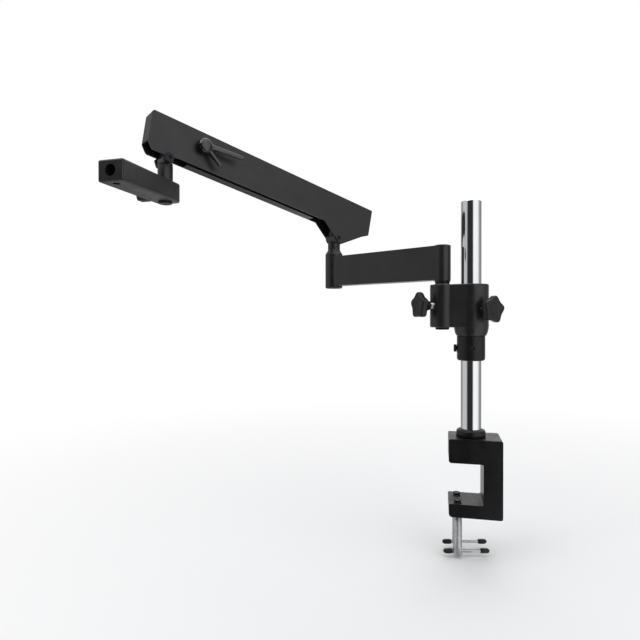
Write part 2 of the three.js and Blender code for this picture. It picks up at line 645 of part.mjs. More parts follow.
function drawRod() {
  // [x, z, corner radius]
  const eye = rounded([
    [-8, -8, 7.6], [16, -8, 3], [28, -3, 2], [28, 3, 2], [16, 8, 3], [-8, 8, 7.6],
  ]);
  const shank = at(alongX(cylinder(ROD_R, 18, 222, SMALL)), 0, ROD_Y, 0);
  return cut(join(prismY(eye, -9.2, -5.4), shank), crossHole([0, 0], LINK_PIN_R + RUN));
}
function rodNut() {
  const body = turned([[7.2, 208], [8, 208.8], [8, 215.2], [7.2, 216]], MEDIUM);
  return at(alongX(cut(body, cylinder(ROD_R + FIT, 200, 230, SMALL))), 0, ROD_Y, 0);
}
function balanceSpring() {
  const turns = 10, stepsPerTurn = 8;
  const coilR = 5.9, wireR = 1.6, x0 = 100.2, x1 = 205.6;
  const steps = turns * stepsPerTurn;
  const extrudePath = new THREE.CatmullRomCurve3(Array.from({ length: steps + 1 }, (_, i) => {
    const angle = 2 * Math.PI * i / stepsPerTurn;
    return new THREE.Vector3(
      x0 + (x1 - x0) * i / steps, ROD_Y + coilR * Math.cos(angle), coilR * Math.sin(angle));
  }));
  return new THREE.ExtrudeGeometry(shapeOf(polar(5, () => wireR)),
    { steps, extrudePath, bevelEnabled: false, curveSegments: 1 });
}
part(rod, 'draw_rod', drawRod(), steel);
part(rod, 'rod_nut', rodNut(), steel);
part(rod, 'balance_spring', balanceSpring(), steel);

// ---------------------------------------------------------------- end knuckle
const end = frame(root, [...END, 0], SPRING_AZ);
part(end, 'end_knuckle', knuckle({
  bottom: CROSSBAR_Z0 + 1, shoulder: CROSSBAR_Z1 + 0.6, stemTop: END_LIFT_Z - 6,
  liftZ: END_LIFT_Z, barrelR: 8.6, lug: [8, 8, 7.5], screwHoleTop: 416,
}), black);
part(end, 'end_link_pin', crossPin([0, END_LIFT_Z + LINK_H], LINK_PIN_R, -5.6, 11.2), steel);
part(end, 'end_retainer', retainer([
  [9.4, CROSSBAR_Z0 - 3], [10.6, CROSSBAR_Z0 - 2], [10.6, CROSSBAR_Z0 - GAP],
], 414), blacked);

// ---------------------------------------------------------------- crossbar
// frame: Z is the end pivot, X runs along the bar to the socket
const BAR_X0 = -15, BAR_X1 = 129.2, BAR_SIDE = 19.4;
const BAR_MID_Z = (CROSSBAR_Z0 + CROSSBAR_Z1) / 2;
const SOCKET_R = 8.05, SOCKET_L = 46;
const HEAD_SCREW_X = 116, HEAD_SCREW_R = 4.9;
const KNOB_STUD_R = 4, KNOB_STUD_DEPTH = 14, KNOB_Y = -BAR_SIDE - 3;
const crossbar = frame(root, [...END, 0], CROSSBAR_AZ);

function crossbarBody() {
  const plan = rounded([
    [BAR_X0, -BAR_SIDE, 8], [BAR_X1, -BAR_SIDE, 3], [BAR_X1, BAR_SIDE, 3], [BAR_X0, BAR_SIDE, 8],
  ]);
  return cut(
    prismZ(plan, CROSSBAR_Z0, CROSSBAR_Z1, 2.8, 2),
    cylinder(PIN_R + RUN, 380, 450),
    alongX(cylinder(SOCKET_R, BAR_X1 - SOCKET_L, BAR_X1 + 10, FINE), 0, BAR_MID_Z),
    cylinder(HEAD_SCREW_R + RUN, 390, BAR_MID_Z, MEDIUM, HEAD_SCREW_X),
    crossPin([0, BAR_MID_Z], KNOB_STUD_R + SNUG, -FAR, -5),
  );
}
function crossbarGrip() {
  const outline = polar(30, angle => 11.2 + 0.9 * Math.cos(6 * angle));
  const hub = turned([[6.2, 0], [6.6, 0.6], [7.4, 6]], MEDIUM);
  const grip = cut(
    join(prismZ(outline, 5, 24, 1.8), hub),
    cylinder(KNOB_STUD_R + FIT, -5, KNOB_STUD_DEPTH + GAP, MEDIUM),
  );
  return at(grip.rotateX(Math.PI / 2), 0, KNOB_Y, BAR_MID_Z);
}
part(crossbar, 'crossbar', crossbarBody(), black);
part(crossbar, 'head_set_screw', at(cut(
  cylinder(HEAD_SCREW_R, CROSSBAR_Z0 + 1.6, BAR_MID_Z - SOCKET_R - GAP, MEDIUM),
  cylinder(2.6, 380, CROSSBAR_Z0 + 4, HEX),
), HEAD_SCREW_X, 0, 0), blacked);
part(crossbar, 'crossbar_knob_grip', crossbarGrip(), plastic);
part(crossbar, 'crossbar_knob_stud', alongY(turned([
  [KNOB_STUD_R, KNOB_Y - KNOB_STUD_DEPTH], [KNOB_STUD_R, -PIN_R - 1.4], [3, -PIN_R - GAP],
], MEDIUM), 0, BAR_MID_Z), steel);

export default root;
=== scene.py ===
import math

import bmesh
import bpy
from mathutils import Matrix, Vector


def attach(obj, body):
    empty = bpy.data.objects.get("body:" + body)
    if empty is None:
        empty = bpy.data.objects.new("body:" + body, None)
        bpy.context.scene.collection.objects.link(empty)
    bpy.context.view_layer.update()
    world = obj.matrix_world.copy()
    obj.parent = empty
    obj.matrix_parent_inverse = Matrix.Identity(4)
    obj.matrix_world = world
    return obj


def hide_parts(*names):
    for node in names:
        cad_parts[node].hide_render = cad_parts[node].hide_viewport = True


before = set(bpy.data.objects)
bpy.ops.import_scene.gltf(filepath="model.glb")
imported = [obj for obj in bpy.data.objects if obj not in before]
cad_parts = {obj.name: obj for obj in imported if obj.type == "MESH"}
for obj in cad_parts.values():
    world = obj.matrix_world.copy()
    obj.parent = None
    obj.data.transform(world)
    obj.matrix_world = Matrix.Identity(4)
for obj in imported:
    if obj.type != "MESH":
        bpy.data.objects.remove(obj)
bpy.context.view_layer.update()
SCENE = bpy.context.scene
PI = math.pi
rad = math.radians

# ------------------------------------------------------------------ dimensions (mm)
POST_R, POST_TOP, POST_BOT = 16, 408, 6.3
P1X = -44.2
ARM1_L, ARM1_B = 232.6, rad(30.7)
ARM1_T, A1Z0, A1Z1 = 25, 284.4, 339.2
ARM2_AZ, TILT, ARM2_Z = rad(48.2), rad(13.1), 425.4
LIFT_Z, LINK_H, REACH = 375, 38, 326.1
LEVER_S, LEVER_T = 279, 5
W2, SHEET = 15.5, 2.0
B1T = -33.5
B1Z = ARM2_Z + (REACH * math.sin(TILT) + B1T) / math.cos(TILT)
BAR3_AZ, B3X0, B3X1, B3W, B3Z0, B3Z1 = rad(86.8), -15, 129.2, 38.8, 402.4, 431.8
PIN_R, STEM_R = 9, 11.5
P2 = Vector((P1X - ARM1_L * math.cos(ARM1_B), ARM1_L * math.sin(ARM1_B)))
P3 = Vector((P2.x - REACH * math.cos(ARM2_AZ), P2.y - REACH * math.sin(ARM2_AZ)))


def T(x, y, z=0.0):
    return Matrix.Translation((x, y, z))


def RZ(a):
    return Matrix.Rotation(a, 4, "Z")


def RY(a):
    return Matrix.Rotation(a, 4, "Y")


def RX(a):
    return Matrix.Rotation(a, 4, "X")


WORLD = Matrix.Identity(4)
ARM1 = T(P1X, 0) @ RZ(PI - ARM1_B)
K2 = T(P2.x, P2.y) @ RZ(PI + ARM2_AZ)
K3 = T(P3.x, P3.y) @ RZ(PI + ARM2_AZ)
TIL = K2 @ T(0, 0, ARM2_Z) @ RY(-TILT)
BAR3 = T(P3.x, P3.y) @ RZ(PI + BAR3_AZ)
ALX = RY(PI / 2)          # built along +Z, turned to +X
ALY = RX(-PI / 2)         # built along +Z, turned to +Y


def rel(u, z):
    return (u * math.cos(TILT) + (z - ARM2_Z) * math.sin(TILT), -u * math.sin(TILT) + (z - ARM2_Z) * math.cos(TILT))


A1, A2 = rel(0, LIFT_Z), rel(0, LIFT_Z + LINK_H)
B1, B2 = rel(REACH, B1Z), rel(REACH, B1Z + LINK_H)

# ------------------------------------------------------------------ outlines


def fillet(pts, closed=True, n=6):
    """Rounds the corners of a list of (x, y, radius)."""
    out, m = [], len(pts)
    for i, p in enumerate(pts):
        x, y = p[0], p[1]
        r = p[2] if len(p) > 2 else 0
        if not r or (not closed and i in (0, m - 1)):
            out.append((x, y))
            continue
        c = Vector((x, y))
        u = (Vector(pts[(i - 1) % m][:2]) - c)
        v = (Vector(pts[(i + 1) % m][:2]) - c)
        lu, lv = u.length, v.length
        u.normalize(), v.normalize()
        half = math.acos(max(-1, min(1, u.dot(v)))) / 2
        if half > PI / 2 - 0.01:
            out.append((x, y))
            continue
        t = min(r / math.tan(half), lu * 0.499, lv * 0.499)
        r = t * math.tan(half)
        o = c + (u + v).normalized() * (r / math.sin(half))
        s, e = c + u * t, c + v * t
        a0 = math.atan2(s.y - o.y, s.x - o.x)
        d = math.atan2(e.y - o.y, e.x - o.x) - a0
        d = (d + PI) % (2 * PI) - PI
        for k in range(n + 1):
            out.append((o.x + r * math.cos(a0 + d * k / n), o.y + r * math.sin(a0 + d * k / n)))
    res = []
    for p in out:
        if not res or math.hypot(p[0] - res[-1][0], p[1] - res[-1][1]) > 2e-3:
            res.append(p)
    if closed and math.hypot(res[0][0] - res[-1][0], res[0][1] - res[-1][1]) < 2e-3:
        res.pop()
    return res


def circle(r, n=64, cx=0, cy=0, a0=0):
    return [(cx + r * math.cos(a0 + 2 * PI * i / n), cy + r * math.sin(a0 + 2 * PI * i / n)) for i in range(n)]


def capsule(x0, r0, x1, r1, n=28):
    k = math.acos((r0 - r1) / (x1 - x0))
    a = [(x1 + r1 * math.cos(-k + 2 * k * i / n), r1 * math.sin(-k + 2 * k * i / n)) for i in range(n + 1)]
    b = [(x0 + r0 * math.cos(k + (2 * PI - 2 * k) * i / n), r0 * math.sin(k + (2 * PI - 2 * k) * i / n)) for i in range(n + 1)]
    return a + b


# ------------------------------------------------------------------ solids


def grid_faces(bm, rings, wrap):
    """Skins rings of vertices. A ring of one vertex is a pole."""
    pairs = list(zip(rings, rings[1:])) + ([(rings[-1], rings[0])] if wrap else [])
    for a, b in pairs:
        n = max(len(a), len(b))
        for i in range(n):
            q = [a[i % len(a)], a[(i + 1) % len(a)], b[(i + 1) % len(b)], b[i % len(b)]]
            f = []
            for v in q:
                if v not in f:
                    f.append(v)
            if len(f) > 2:
                bm.faces.new(f)


def lathe(profile, seg=96, wrap=False):
    bm = bmesh.new()
    rings = []
    for r, z in profile:
        if r < 1e-6:
            rings.append([bm.verts.new((0, 0, z))])
        else:
            rings.append([bm.verts.new((r * math.cos(2 * PI * i / seg), r * math.sin(2 * PI * i / seg), z)) for i in range(seg)])
    grid_faces(bm, rings, wrap)
    bmesh.ops.recalc_face_normals(bm, faces=bm.faces)
    return bm


def turned(pts, seg=96, n=5):
    """Solid of revolution that starts and ends on the axis; pts are (r, z, fillet)."""
    return lathe(fillet(pts, closed=False, n=n), seg)


def ringed(pts, seg=96, n=5):
    return lathe(fillet(pts, closed=True, n=n), seg, wrap=True)


def prism(pts, z0, z1):
    bm = bmesh.new()
    lo = [bm.verts.new((x, y, z0)) for x, y in pts]
    hi = [bm.verts.new((x, y, z1)) for x, y in pts]
    bm.faces.new(list(reversed(lo)))
    bm.faces.new(hi)
    n = len(pts)
    for i in range(n):
        bm.faces.new((lo[i], lo[(i + 1) % n], hi[(i + 1) % n], hi[i]))
    bmesh.ops.recalc_face_normals(bm, faces=bm.faces)
    return bm


def rolled(pts, z0, z1, r, steps=5):
    """Upright prism whose top and bottom rims are rounded over."""
    bm = prism(pts, z0, z1)
    rim = [e for e in bm.edges if abs(e.verts[0].co.z - e.verts[1].co.z) < 1e-6]
    bmesh.ops.bevel(bm, geom=rim, offset=r, offset_type="OFFSET", segments=steps, profile=0.5, affect="EDGES", clamp_overlap=True)
    bmesh.ops.recalc_face_normals(bm, faces=bm.faces)
    return bm


def prism_y(pts, y0, y1):
    """Prism of an (x, z) outline between y0 and y1."""
    return moved(prism(pts, 0, y1 - y0), T(0, y1, 0) @ RX(PI / 2))


def block(x0, x1, y0, y1, z0, z1):
    return prism([(x0, y0), (x1, y0), (x1, y1), (x0, y1)], z0, z1)


def cyl(r, z0, z1, n=64):
    return prism(circle(r, n), z0, z1)


def moved(bm, m):
    bmesh.ops.transform(bm, matrix=m, verts=bm.verts)
    return bm


def cyl_y(r, x, z, y0, y1, n=64):
    return moved(cyl(r, y0, y1, n), T(x, 0, z) @ ALY)


def as_object(bm, name="tmp"):
    me = bpy.data.meshes.new(name)
    bm.normal_update()
    bm.to_mesh(me)
    bm.free()
    o = bpy.data.objects.new(name, me)
    SCENE.collection.objects.link(o)
    return o


def baked(o):
    dg = bpy.context.evaluated_depsgraph_get()
    dg.update()
    me = bpy.data.meshes.new_from_object(o.evaluated_get(dg))
    o.modifiers.clear()
    old = o.data
    o.data = me
    bpy.data.meshes.remove(old)
    return o


def mix(a, cutters, op="DIFFERENCE"):
    a = as_object(a) if isinstance(a, bmesh.types.BMesh) else a
    made = []
    for c in cutters:
        c = as_object(c) if isinstance(c, bmesh.types.BMesh) else c
        m = a.modifiers.new("cut", "BOOLEAN")
        m.operation, m.solver, m.object = op, "EXACT", c
        made.append(c)
    baked(a)
    for c in made:
        me = c.data
        bpy.data.objects.remove(c)
        bpy.data.meshes.remove(me)
    return a


def cut(a, *c):
    return mix(a, c)


def fuse(a, *c):
    return mix(a, c, "UNION")


def together(*parts):
    """Puts several closed bodies into one mesh without joining them."""
    bm = bmesh.new()
    for p in parts:
        if isinstance(p, bmesh.types.BMesh):
            me = bpy.data.meshes.new("t")
            p.to_mesh(me)
            p.free()
            bm.from_mesh(me)
            bpy.data.meshes.remove(me)
        else:
            bm.from_mesh(p.data)
            me = p.data
            bpy.data.objects.remove(p)
            bpy.data.meshes.remove(me)
    return as_object(bm)


def cast(o, voxel, rounds):
    """Runs a thin skin over joined shapes, so their corners get the soft fillets of a casting."""
    o = as_object(o) if isinstance(o, bmesh.types.BMesh) else o
    m = o.modifiers.new("skin", "REMESH")
    m.mode, m.voxel_size, m.use_smooth_shade = "VOXEL", voxel, True
    s = o.modifiers.new("soft", "SMOOTH")
    s.factor, s.iterations = 0.5, rounds
    return baked(o)


PIECES = {}


def piece(name, shape, mat, body, nodes, m=WORLD, bevel=0.0, steps=3, angle=32, weighted=True):
    o = as_object(shape) if isinstance(shape, bmesh.types.BMesh) else shape
    o.name = name
    o.data.name = name
    bm = bmesh.new()
    bm.from_mesh(o.data)
    bmesh.ops.remove_doubles(bm, verts=bm.verts, dist=1e-3)
    bmesh.ops.scale(bm, vec=(0.001,) * 3, verts=bm.verts)
    bm.to_mesh(o.data)
    bm.free()
    mm = m.copy()
    mm.translation = mm.translation * 0.001
    o.matrix_world = mm
    for p in o.data.polygons:
        p.use_smooth = True
    o.data.materials.clear()
    o.data.materials.append(mat)
    if bevel:
        b = o.modifiers.new("edge", "BEVEL")
        b.width, b.segments, b.limit_method, b.angle_limit = bevel * 0.001, steps, "ANGLE", rad(angle)
        b.use_clamp_overlap = True
        b.miter_outer = "MITER_ARC"
    if weighted:
        w = o.modifiers.new("normals", "WEIGHTED_NORMAL")
        w.mode, w.weight, w.keep_sharp = "FACE_AREA", 50, True
    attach(o, body)
    if nodes:
        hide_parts(*nodes)
    PIECES[name] = o
    return o


# ------------------------------------------------------------------ materials


class Nodes:
    def __init__(self, name):
        self.mat = bpy.data.materials.new(name)
        self.mat.use_nodes = True
        self.t = self.mat.node_tree
        self.t.nodes.clear()
        self.out = self.add("ShaderNodeOutputMaterial")
        self.bsdf = self.add("ShaderNodeBsdfPrincipled")
        self.link(self.bsdf.outputs[0], self.out.inputs[0])
        self.coord = self.add("ShaderNodeTexCoord").outputs["Object"]

    def add(self, kind, **kw):
        n = self.t.nodes.new(kind)
        for k, v in kw.items():
            setattr(n, k, v)
        return n

    def link(self, a, b):
        self.t.links.new(a, b)

    def val(self, sock, v):
        if isinstance(v, bpy.types.NodeSocket):
            self.link(v, sock)
        elif sock.type == "RGBA" and not isinstance(v, (list, tuple)):
            sock.default_value = (v, v, v, 1)
        elif sock.type == "RGBA":
            sock.default_value = (*v[:3], 1)
        else:
            sock.default_value = v

    def noise(self, scale, detail=3, rough=0.55, vec=None, distort=0):
        n = self.add("ShaderNodeTexNoise")
        self.val(n.inputs["Vector"], vec or self.coord)
        n.inputs["Scale"].default_value = scale
        n.inputs["Detail"].default_value = detail
        n.inputs["Roughness"].default_value = rough
        n.inputs["Distortion"].default_value = distort
        return n.outputs[0]

    def cells(self, scale, feature="F1", smooth=None, vec=None):
        n = self.add("ShaderNodeTexVoronoi", feature=feature)
        self.val(n.inputs["Vector"], vec or self.coord)
        n.inputs["Scale"].default_value = scale
        if smooth is not None:
            n.inputs["Smoothness"].default_value = smooth
        return n.outputs[0]

    def stretch(self, s, vec=None):
        n = self.add("ShaderNodeMapping")
        self.val(n.inputs["Vector"], vec or self.coord)
        n.inputs["Scale"].default_value = s
        return n.outputs[0]

    def span(self, v, a, b, c, d, smooth=True):
        n = self.add("ShaderNodeMapRange")
        if smooth:
            n.interpolation_type = "SMOOTHSTEP"
        self.val(n.inputs[0], v)
        for i, x in zip((1, 2, 3, 4), (a, b, c, d)):
            self.val(n.inputs[i], x)
        return n.outputs[0]

    def math(self, op, a, b=0.0, clamp=False):
        n = self.add("ShaderNodeMath", operation=op, use_clamp=clamp)
        self.val(n.inputs[0], a)
        self.val(n.inputs[1], b)
        return n.outputs[0]

    def blend(self, f, a, b):
        n = self.add("ShaderNodeMix", data_type="RGBA")
        self.val(n.inputs["Factor"], f)
        self.val(n.inputs[6], a)
        self.val(n.inputs[7], b)
        return n.outputs[2]

    def bump(self, height, dist, strength=1.0, normal=None):
        n = self.add("ShaderNodeBump")
        n.inputs["Strength"].default_value = strength
        n.inputs["Distance"].default_value = dist
        self.val(n.inputs["Height"], height)
        if normal is not None:
            self.link(normal, n.inputs["Normal"])
        return n.outputs[0]

    def edge(self, radius, lo, hi):
        """1 on worn edges, 0 on faces."""
        b = self.add("ShaderNodeBevel", samples=4)
        b.inputs[0].default_value = radius
        g = self.add("ShaderNodeNewGeometry")
        d = self.add("ShaderNodeVectorMath", operation="DOT_PRODUCT")
        self.link(b.outputs[0], d.inputs[0])
        self.link(g.outputs["Normal"], d.inputs[1])
        return self.span(d.outputs["Value"], hi, lo, 0.0, 1.0)

    def set(self, **kw):
        names = {"color": "Base Color", "rough": "Roughness", "metal": "Metallic", "normal": "Normal", "coat": "Coat Weight",
                 "coat_rough": "Coat Roughness", "spec": "Specular IOR Level", "aniso": "Anisotropic", "sheen": "Sheen Weight", "ior": "IOR"}
        for k, v in kw.items():
            self.val(self.bsdf.inputs[names[k]], v)
        return self.mat


def paint(name, base, rough, grain, depth, wear=0.35, spec=0.5, peel=420.0):
    """Satin black enamel: fine pebble, slow colour drift, corners where the coat is thin and rubbed bright."""
    n = Nodes(name)
    fine = n.cells(grain, "SMOOTH_F1", 0.6)
    mid = n.noise(peel, 4, 0.6)
    slow = n.noise(26.0, 3, 0.5)
    h = n.math("ADD", n.math("MULTIPLY", fine, 0.6), n.math("MULTIPLY", mid, 0.8))
    nrm = n.bump(h, depth, 1.0)
    rub = n.math("MULTIPLY", n.edge(0.0007, 0.93, 0.995), n.span(n.noise(300.0, 5, 0.7), 0.42, 0.62, 0.25, 1.0))
    lo = [c * 0.86 for c in base]
    hi = [min(1, c * 1.18 + 0.001) for c in base]
    col = n.blend(n.span(slow, 0.3, 0.7, 0, 1), lo, hi)
    col = n.blend(n.math("MULTIPLY", n.span(n.noise(1500.0, 2), 0.62, 0.75, 0, 1), 0.25), col, [c * 2.2 + 0.004 for c in base])
    col = n.blend(n.math("MULTIPLY", rub, wear), col, (0.16, 0.16, 0.165))
    r = n.math("ADD", n.span(n.noise(60.0, 4), 0.25, 0.75, rough - 0.06, rough + 0.07), n.math("MULTIPLY", rub, -0.12), clamp=True)
    return n.set(color=col, rough=r, normal=nrm, spec=spec)


def plastic(name, base, rough, grain=2600.0, depth=0.00003):
    n = Nodes(name)
    h = n.math("ADD", n.cells(grain, "SMOOTH_F1", 0.4), n.math("MULTIPLY", n.noise(900.0, 3), 0.5))
    slow = n.noise(70.0, 3)
    scuff = n.span(n.noise(1.0, 5, 0.65, n.stretch((240, 900, 420))), 0.6, 0.72, 0, 1)
    rub = n.math("MULTIPLY", n.edge(0.0009, 0.9, 0.99), n.span(n.noise(240.0, 4), 0.4, 0.6, 0.2, 1))
    col = n.blend(n.span(slow, 0.3, 0.7, 0, 1), [c * 0.85 for c in base], [c * 1.2 + 0.002 for c in base])
    col = n.blend(n.math("MULTIPLY", rub, 0.22), col, (0.1, 0.1, 0.104))
    r = n.math("ADD", n.span(slow, 0.25, 0.75, rough - 0.05, rough + 0.06), n.math("MULTIPLY", n.math("MAXIMUM", scuff, rub), -0.1), clamp=True)
    return n.set(color=col, rough=r, normal=n.bump(h, depth, 0.9), spec=0.36)


def chrome(name, base=0.8, rough=0.055, lines=(40, 40, 5200)):
    """Bright plate on a ground tube: hair-fine rings left by grinding, faint cloudiness, tiny pits."""
    n = Nodes(name)
    ring = n.noise(1.0, 4, 0.7, n.stretch(lines))
    cloud = n.noise(34.0, 4, 0.55)
    pits = n.span(n.cells(420.0, "F1"), 0.0, 0.06, 1, 0)
    few = n.span(n.noise(150.0, 2), 0.6, 0.66, 0, 1)
    pit = n.math("MULTIPLY", pits, few)
    col = n.blend(n.span(cloud, 0.3, 0.7, 0, 1), (base * 0.96, base * 0.97, base), (base, base * 1.0, base * 1.01))
    col = n.blend(n.math("MULTIPLY", pit, 0.5), col, (0.25, 0.25, 0.26))
    r = n.math("ADD", n.span(cloud, 0.3, 0.7, rough, rough + 0.05), n.math("MULTIPLY", n.span(ring, 0.5, 0.75, 0, 1), 0.05), clamp=True)
    nrm = n.bump(ring, 0.0000010, 0.22, n.bump(n.noise(7.0, 2), 0.00003, 0.25))
    return n.set(color=col, rough=r, metal=1.0, normal=nrm)


def steel(name, base, rough, lines=(120, 120, 3000), depth=0.000006, dirt=0.22, edge_to=0.7):
    """Turned and zinc plated steel: lathe lines, cloudy plating, dark oil in random patches."""
    n = Nodes(name)
    ring = n.noise(1.0, 4, 0.65, n.stretch(lines))
    cloud = n.noise(110.0, 4, 0.6)
    spang = n.cells(480.0, "F1")
    oil = n.span(n.noise(55.0, 5, 0.7), 0.5, 0.68, 0, 1)
    rub = n.math("MULTIPLY", n.edge(0.0005, 0.92, 0.99), n.span(n.noise(500.0, 3), 0.35, 0.6, 0.3, 1))
    col = n.blend(n.span(cloud, 0.3, 0.7, 0, 1), [c * 0.8 for c in base], base)
    col = n.blend(n.math("MULTIPLY", spang, 0.22), col, [c * 0.78 for c in base])
    col = n.blend(n.math("MULTIPLY", oil, dirt), col, [c * 0.35 for c in base])
    col = n.blend(n.math("MULTIPLY", rub, 0.6), col, (edge_to, edge_to, edge_to))
    r = n.math("ADD", n.span(cloud, 0.25, 0.75, rough - 0.06, rough + 0.08), n.math("MULTIPLY", ring, 0.12), clamp=True)
    return n.set(color=col, rough=r, metal=1.0, normal=n.bump(ring, depth, 0.7, n.bump(cloud, 0.00001, 0.5)))


CASTING = paint("black_casting", (0.0085, 0.0087, 0.0095), 0.35, 1250.0, 0.00006, wear=0.28, spec=0.30)
PAINT = paint("black_paint", (0.0135, 0.0136, 0.0148), 0.345, 1700.0, 0.00005, wear=0.34, spec=0.52)
CHROME = chrome("chrome")
CHROME_SMALL = chrome("chrome_small", 0.78, 0.11)
PLASTIC = plastic("black_plastic", (0.0085, 0.0087, 0.0092), 0.38)
LEVER = paint("lever_black", (0.006, 0.0062, 0.007), 0.17, 900.0, 0.00002, wear=0.4, spec=0.9)
BLACKED = steel("black_oxide", (0.035, 0.035, 0.039), 0.34, dirt=0.5, edge_to=0.22)
STEEL = steel("zinc_steel", (0.44, 0.445, 0.45), 0.2)
SCREWS = steel("zinc_screws", (0.60, 0.605, 0.61), 0.24, depth=0.000003, dirt=0.08, edge_to=0.8)
WASHER = steel("washer", (0.26, 0.26, 0.27), 0.36)
SPRING = steel("spring_steel", (0.2, 0.2, 0.21), 0.3, lines=(900, 900, 900))

# ------------------------------------------------------------------ clamp

OPEN, LOWT = 63, 20.5
zl, zb = -OPEN, -OPEN - LOWT
SX, SY = -21, 17.5
c_out = fillet([(-34.5, 0, 4), (17, 0, 1.8), (17, zl, 3.2), (-34.5, zl, 2.2), (-34.5, zb, 5.2), (45.5, zb, 3.4), (45.5, 37, 3.0), (-34.5, 37, 2.6)], n=8)
frame_body = cut(
    prism_y(c_out, -30, 30),
    cyl(POST_R + 0.1, POST_BOT - 0.3, 60, 96),
    moved(cyl(7.15, zb - 5, zl + 5, 64), T(SX, -SY)),
    moved(cyl(7.15, zb - 5, zl + 5, 64), T(SX, SY)),
    moved(moved(cyl(4.05, 10, 40, 48), ALY), T(0, 0, 22)),
)
piece("v_clamp_frame", frame_body, CASTING, "clamp", ["clamp_frame"], bevel=1.15, steps=4)

piece("v_post", turned([(0, POST_BOT), (POST_R, POST_BOT, 0.8), (POST_R, POST_TOP, 1.5), (POST_R - 3.0, POST_TOP, 0.4), (POST_R - 4.2, POST_TOP - 0.5, 0.4), (0, POST_TOP - 0.5)], 160),
      CHROME, "clamp", ["post"], weighted=False)

b = 37.3
piece("v_base_ring", ringed([(POST_R + 0.1, b), (22.6, b, 0.9), (23, b + 4.2, 4), (21.8, b + 9.6, 3.2), (18.0, b + 11.5, 1.0), (POST_R + 0.5, b + 11.5, 0.4), (POST_R + 0.1, b + 10.9, 0.2)], 128, 6),
      CASTING, "clamp", ["base_ring"], weighted=False)

g = cut(moved(turned([(0, 16.3), (2.6, 16.3, 0.2), (3.9, 17.6, 0.3), (3.9, 28.4, 0.4), (0, 28.4)], 48), ALY), moved(cyl(2.3, 24.4, 32, 6), ALY))
piece("v_post_set_screw", g, BLACKED, "clamp", ["post_set_screw"], m=T(0, 0, 22), bevel=0.15, steps=2)


def thread(r, depth, pitch, z0, z1, seg=56, per=8, fade=1.2):
    """Rod with a helical thread that runs out at both ends."""
    bm = bmesh.new()
    rows = max(2, int(round((z1 - z0) / pitch * per)))
    rings = [[bm.verts.new((0, 0, z0))]]
    for k in range(rows + 1):
        z = z0 + (z1 - z0) * k / rows
        f = max(0.0, min(1.0, (z - z0) / (fade * pitch), (z1 - z) / (fade * pitch)))
        ring = []
        for i in range(seg):
            a = 2 * PI * i / seg
            p = (z / pitch - a / (2 * PI)) % 1.0
            w = abs(p * 2 - 1)
            w = max(0.0, min(1.0, (w - 0.12) / 0.76))
            q = r - depth * (f * w + (1 - f) * 0.5)
            ring.append(bm.verts.new((q * math.cos(a), q * math.sin(a), z)))
        rings.append(ring)
    rings.append([bm.verts.new((0, 0, z1))])
    grid_faces(bm, rings, False)
    bmesh.ops.recalc_face_normals(bm, faces=bm.faces)
    return bm


ftop = -OPEN + 3.5
for tag, sy, shift in (("front", -SY, 14.0), ("back", SY, 12.7)):
    S = T(SX, sy) @ RZ(rad(12.6))
    zt = -OPEN + 0.3
    foot = turned([(0, zt - 8), (2.5, zt - 8, 0.3), (2.5, zt + 0.3, 0.1), (6.2, zt + 0.3, 0.4), (6.2, ftop, 0.9), (5.0, ftop, 0.2), (4.7, ftop - 0.35, 0.2), (0, ftop - 0.35)], 72)
    piece(f"v_{tag}_foot", foot, BLACKED, f"{tag}_foot", [f"{tag}_pressure_foot"], m=S, weighted=False)
    head = cut(turned([(0, -148), (3.2, -148, 0.5), (5.6, -146.4, 1), (6.95, -143.8, 1.2), (6.95, -132.4, 0.8), (6.2, -131.2, 0.4), (0, -131.2)], 72),
               moved(moved(cyl(2.65, -12, 12, 40), ALX), T(0, 0, -140)))
    rod = cut(thread(6.95, 0.5, 1.75, -131.6, zt - 0.1), cyl(2.8, zt - 8.5, zt + 2, 40))
    piece(f"v_{tag}_screw", together(head, rod), SCREWS, f"{tag}_screw", [f"{tag}_clamp_screw"], m=S, bevel=0.18, steps=2, angle=48, weighted=False)
    bar = moved(turned([(0, -33.4), (2.45, -33.4, 0.3), (2.45, 33.4, 0.3), (0, 33.4)], 48), T(shift, 0, -140) @ ALX)
    piece(f"v_{tag}_bar", bar, SCREWS, f"{tag}_bar", [f"{tag}_tommy_bar"], m=S, weighted=False)
    for side, turn in (("left", 0.0), ("right", PI)):
        cap = ringed([(2.55, 14.5, 0.1), (2.55, 2.2), (0.02, 2.2), (0.02, 0.0), (1.7, 0.25, 1.2), (2.9, 1.3, 1.2), (3.7, 3.4, 2.0), (3.9, 6.0, 2.5), (3.9, 11.0, 1.5), (3.3, 14.5, 0.5)], 56)
        x = shift - 36 if side == "left" else shift + 36
        piece(f"v_{tag}_cap_{side}", moved(cap, T(x, 0, -140) @ RZ(turn) @ ALX), PLASTIC, f"{tag}_bar", [f"{tag}_bar_cap_{side}"], m=S, weighted=False)

# ------------------------------------------------------------------ safety collar

CR, c0, c1, cs = 21.7, 157, 195.7, 176
hole = lambda az, r=3.1: moved(moved(cyl(r, 10, 30, 40), ALX), T(0, 0, cs) @ RZ(rad(az)))
col = cut(ringed([(16.15, c0), (19.4, c0, 0.8), (21.2, c0 + 1.4, 1.2), (CR, c0 + 4, 2), (CR, c1, 0.9), (16.15, c1, 0.4)], 128, 6), hole(176), hole(-84))
piece("v_safety_collar", col, CASTING, "collar", ["safety_collar"], bevel=0.35, steps=2, angle=40)
sc = cut(moved(turned([(0, 16.3), (3.0, 16.3, 0.4), (3.0, 21.9, 0.35), (0, 21.9)], 48), ALX), moved(cyl(1.7, 19.3, 30, 6), ALX))
piece("v_collar_set_screw", sc, BLACKED, "collar", ["collar_set_screw"], m=T(0, 0, cs) @ RZ(rad(-84)), bevel=0.12, steps=2)


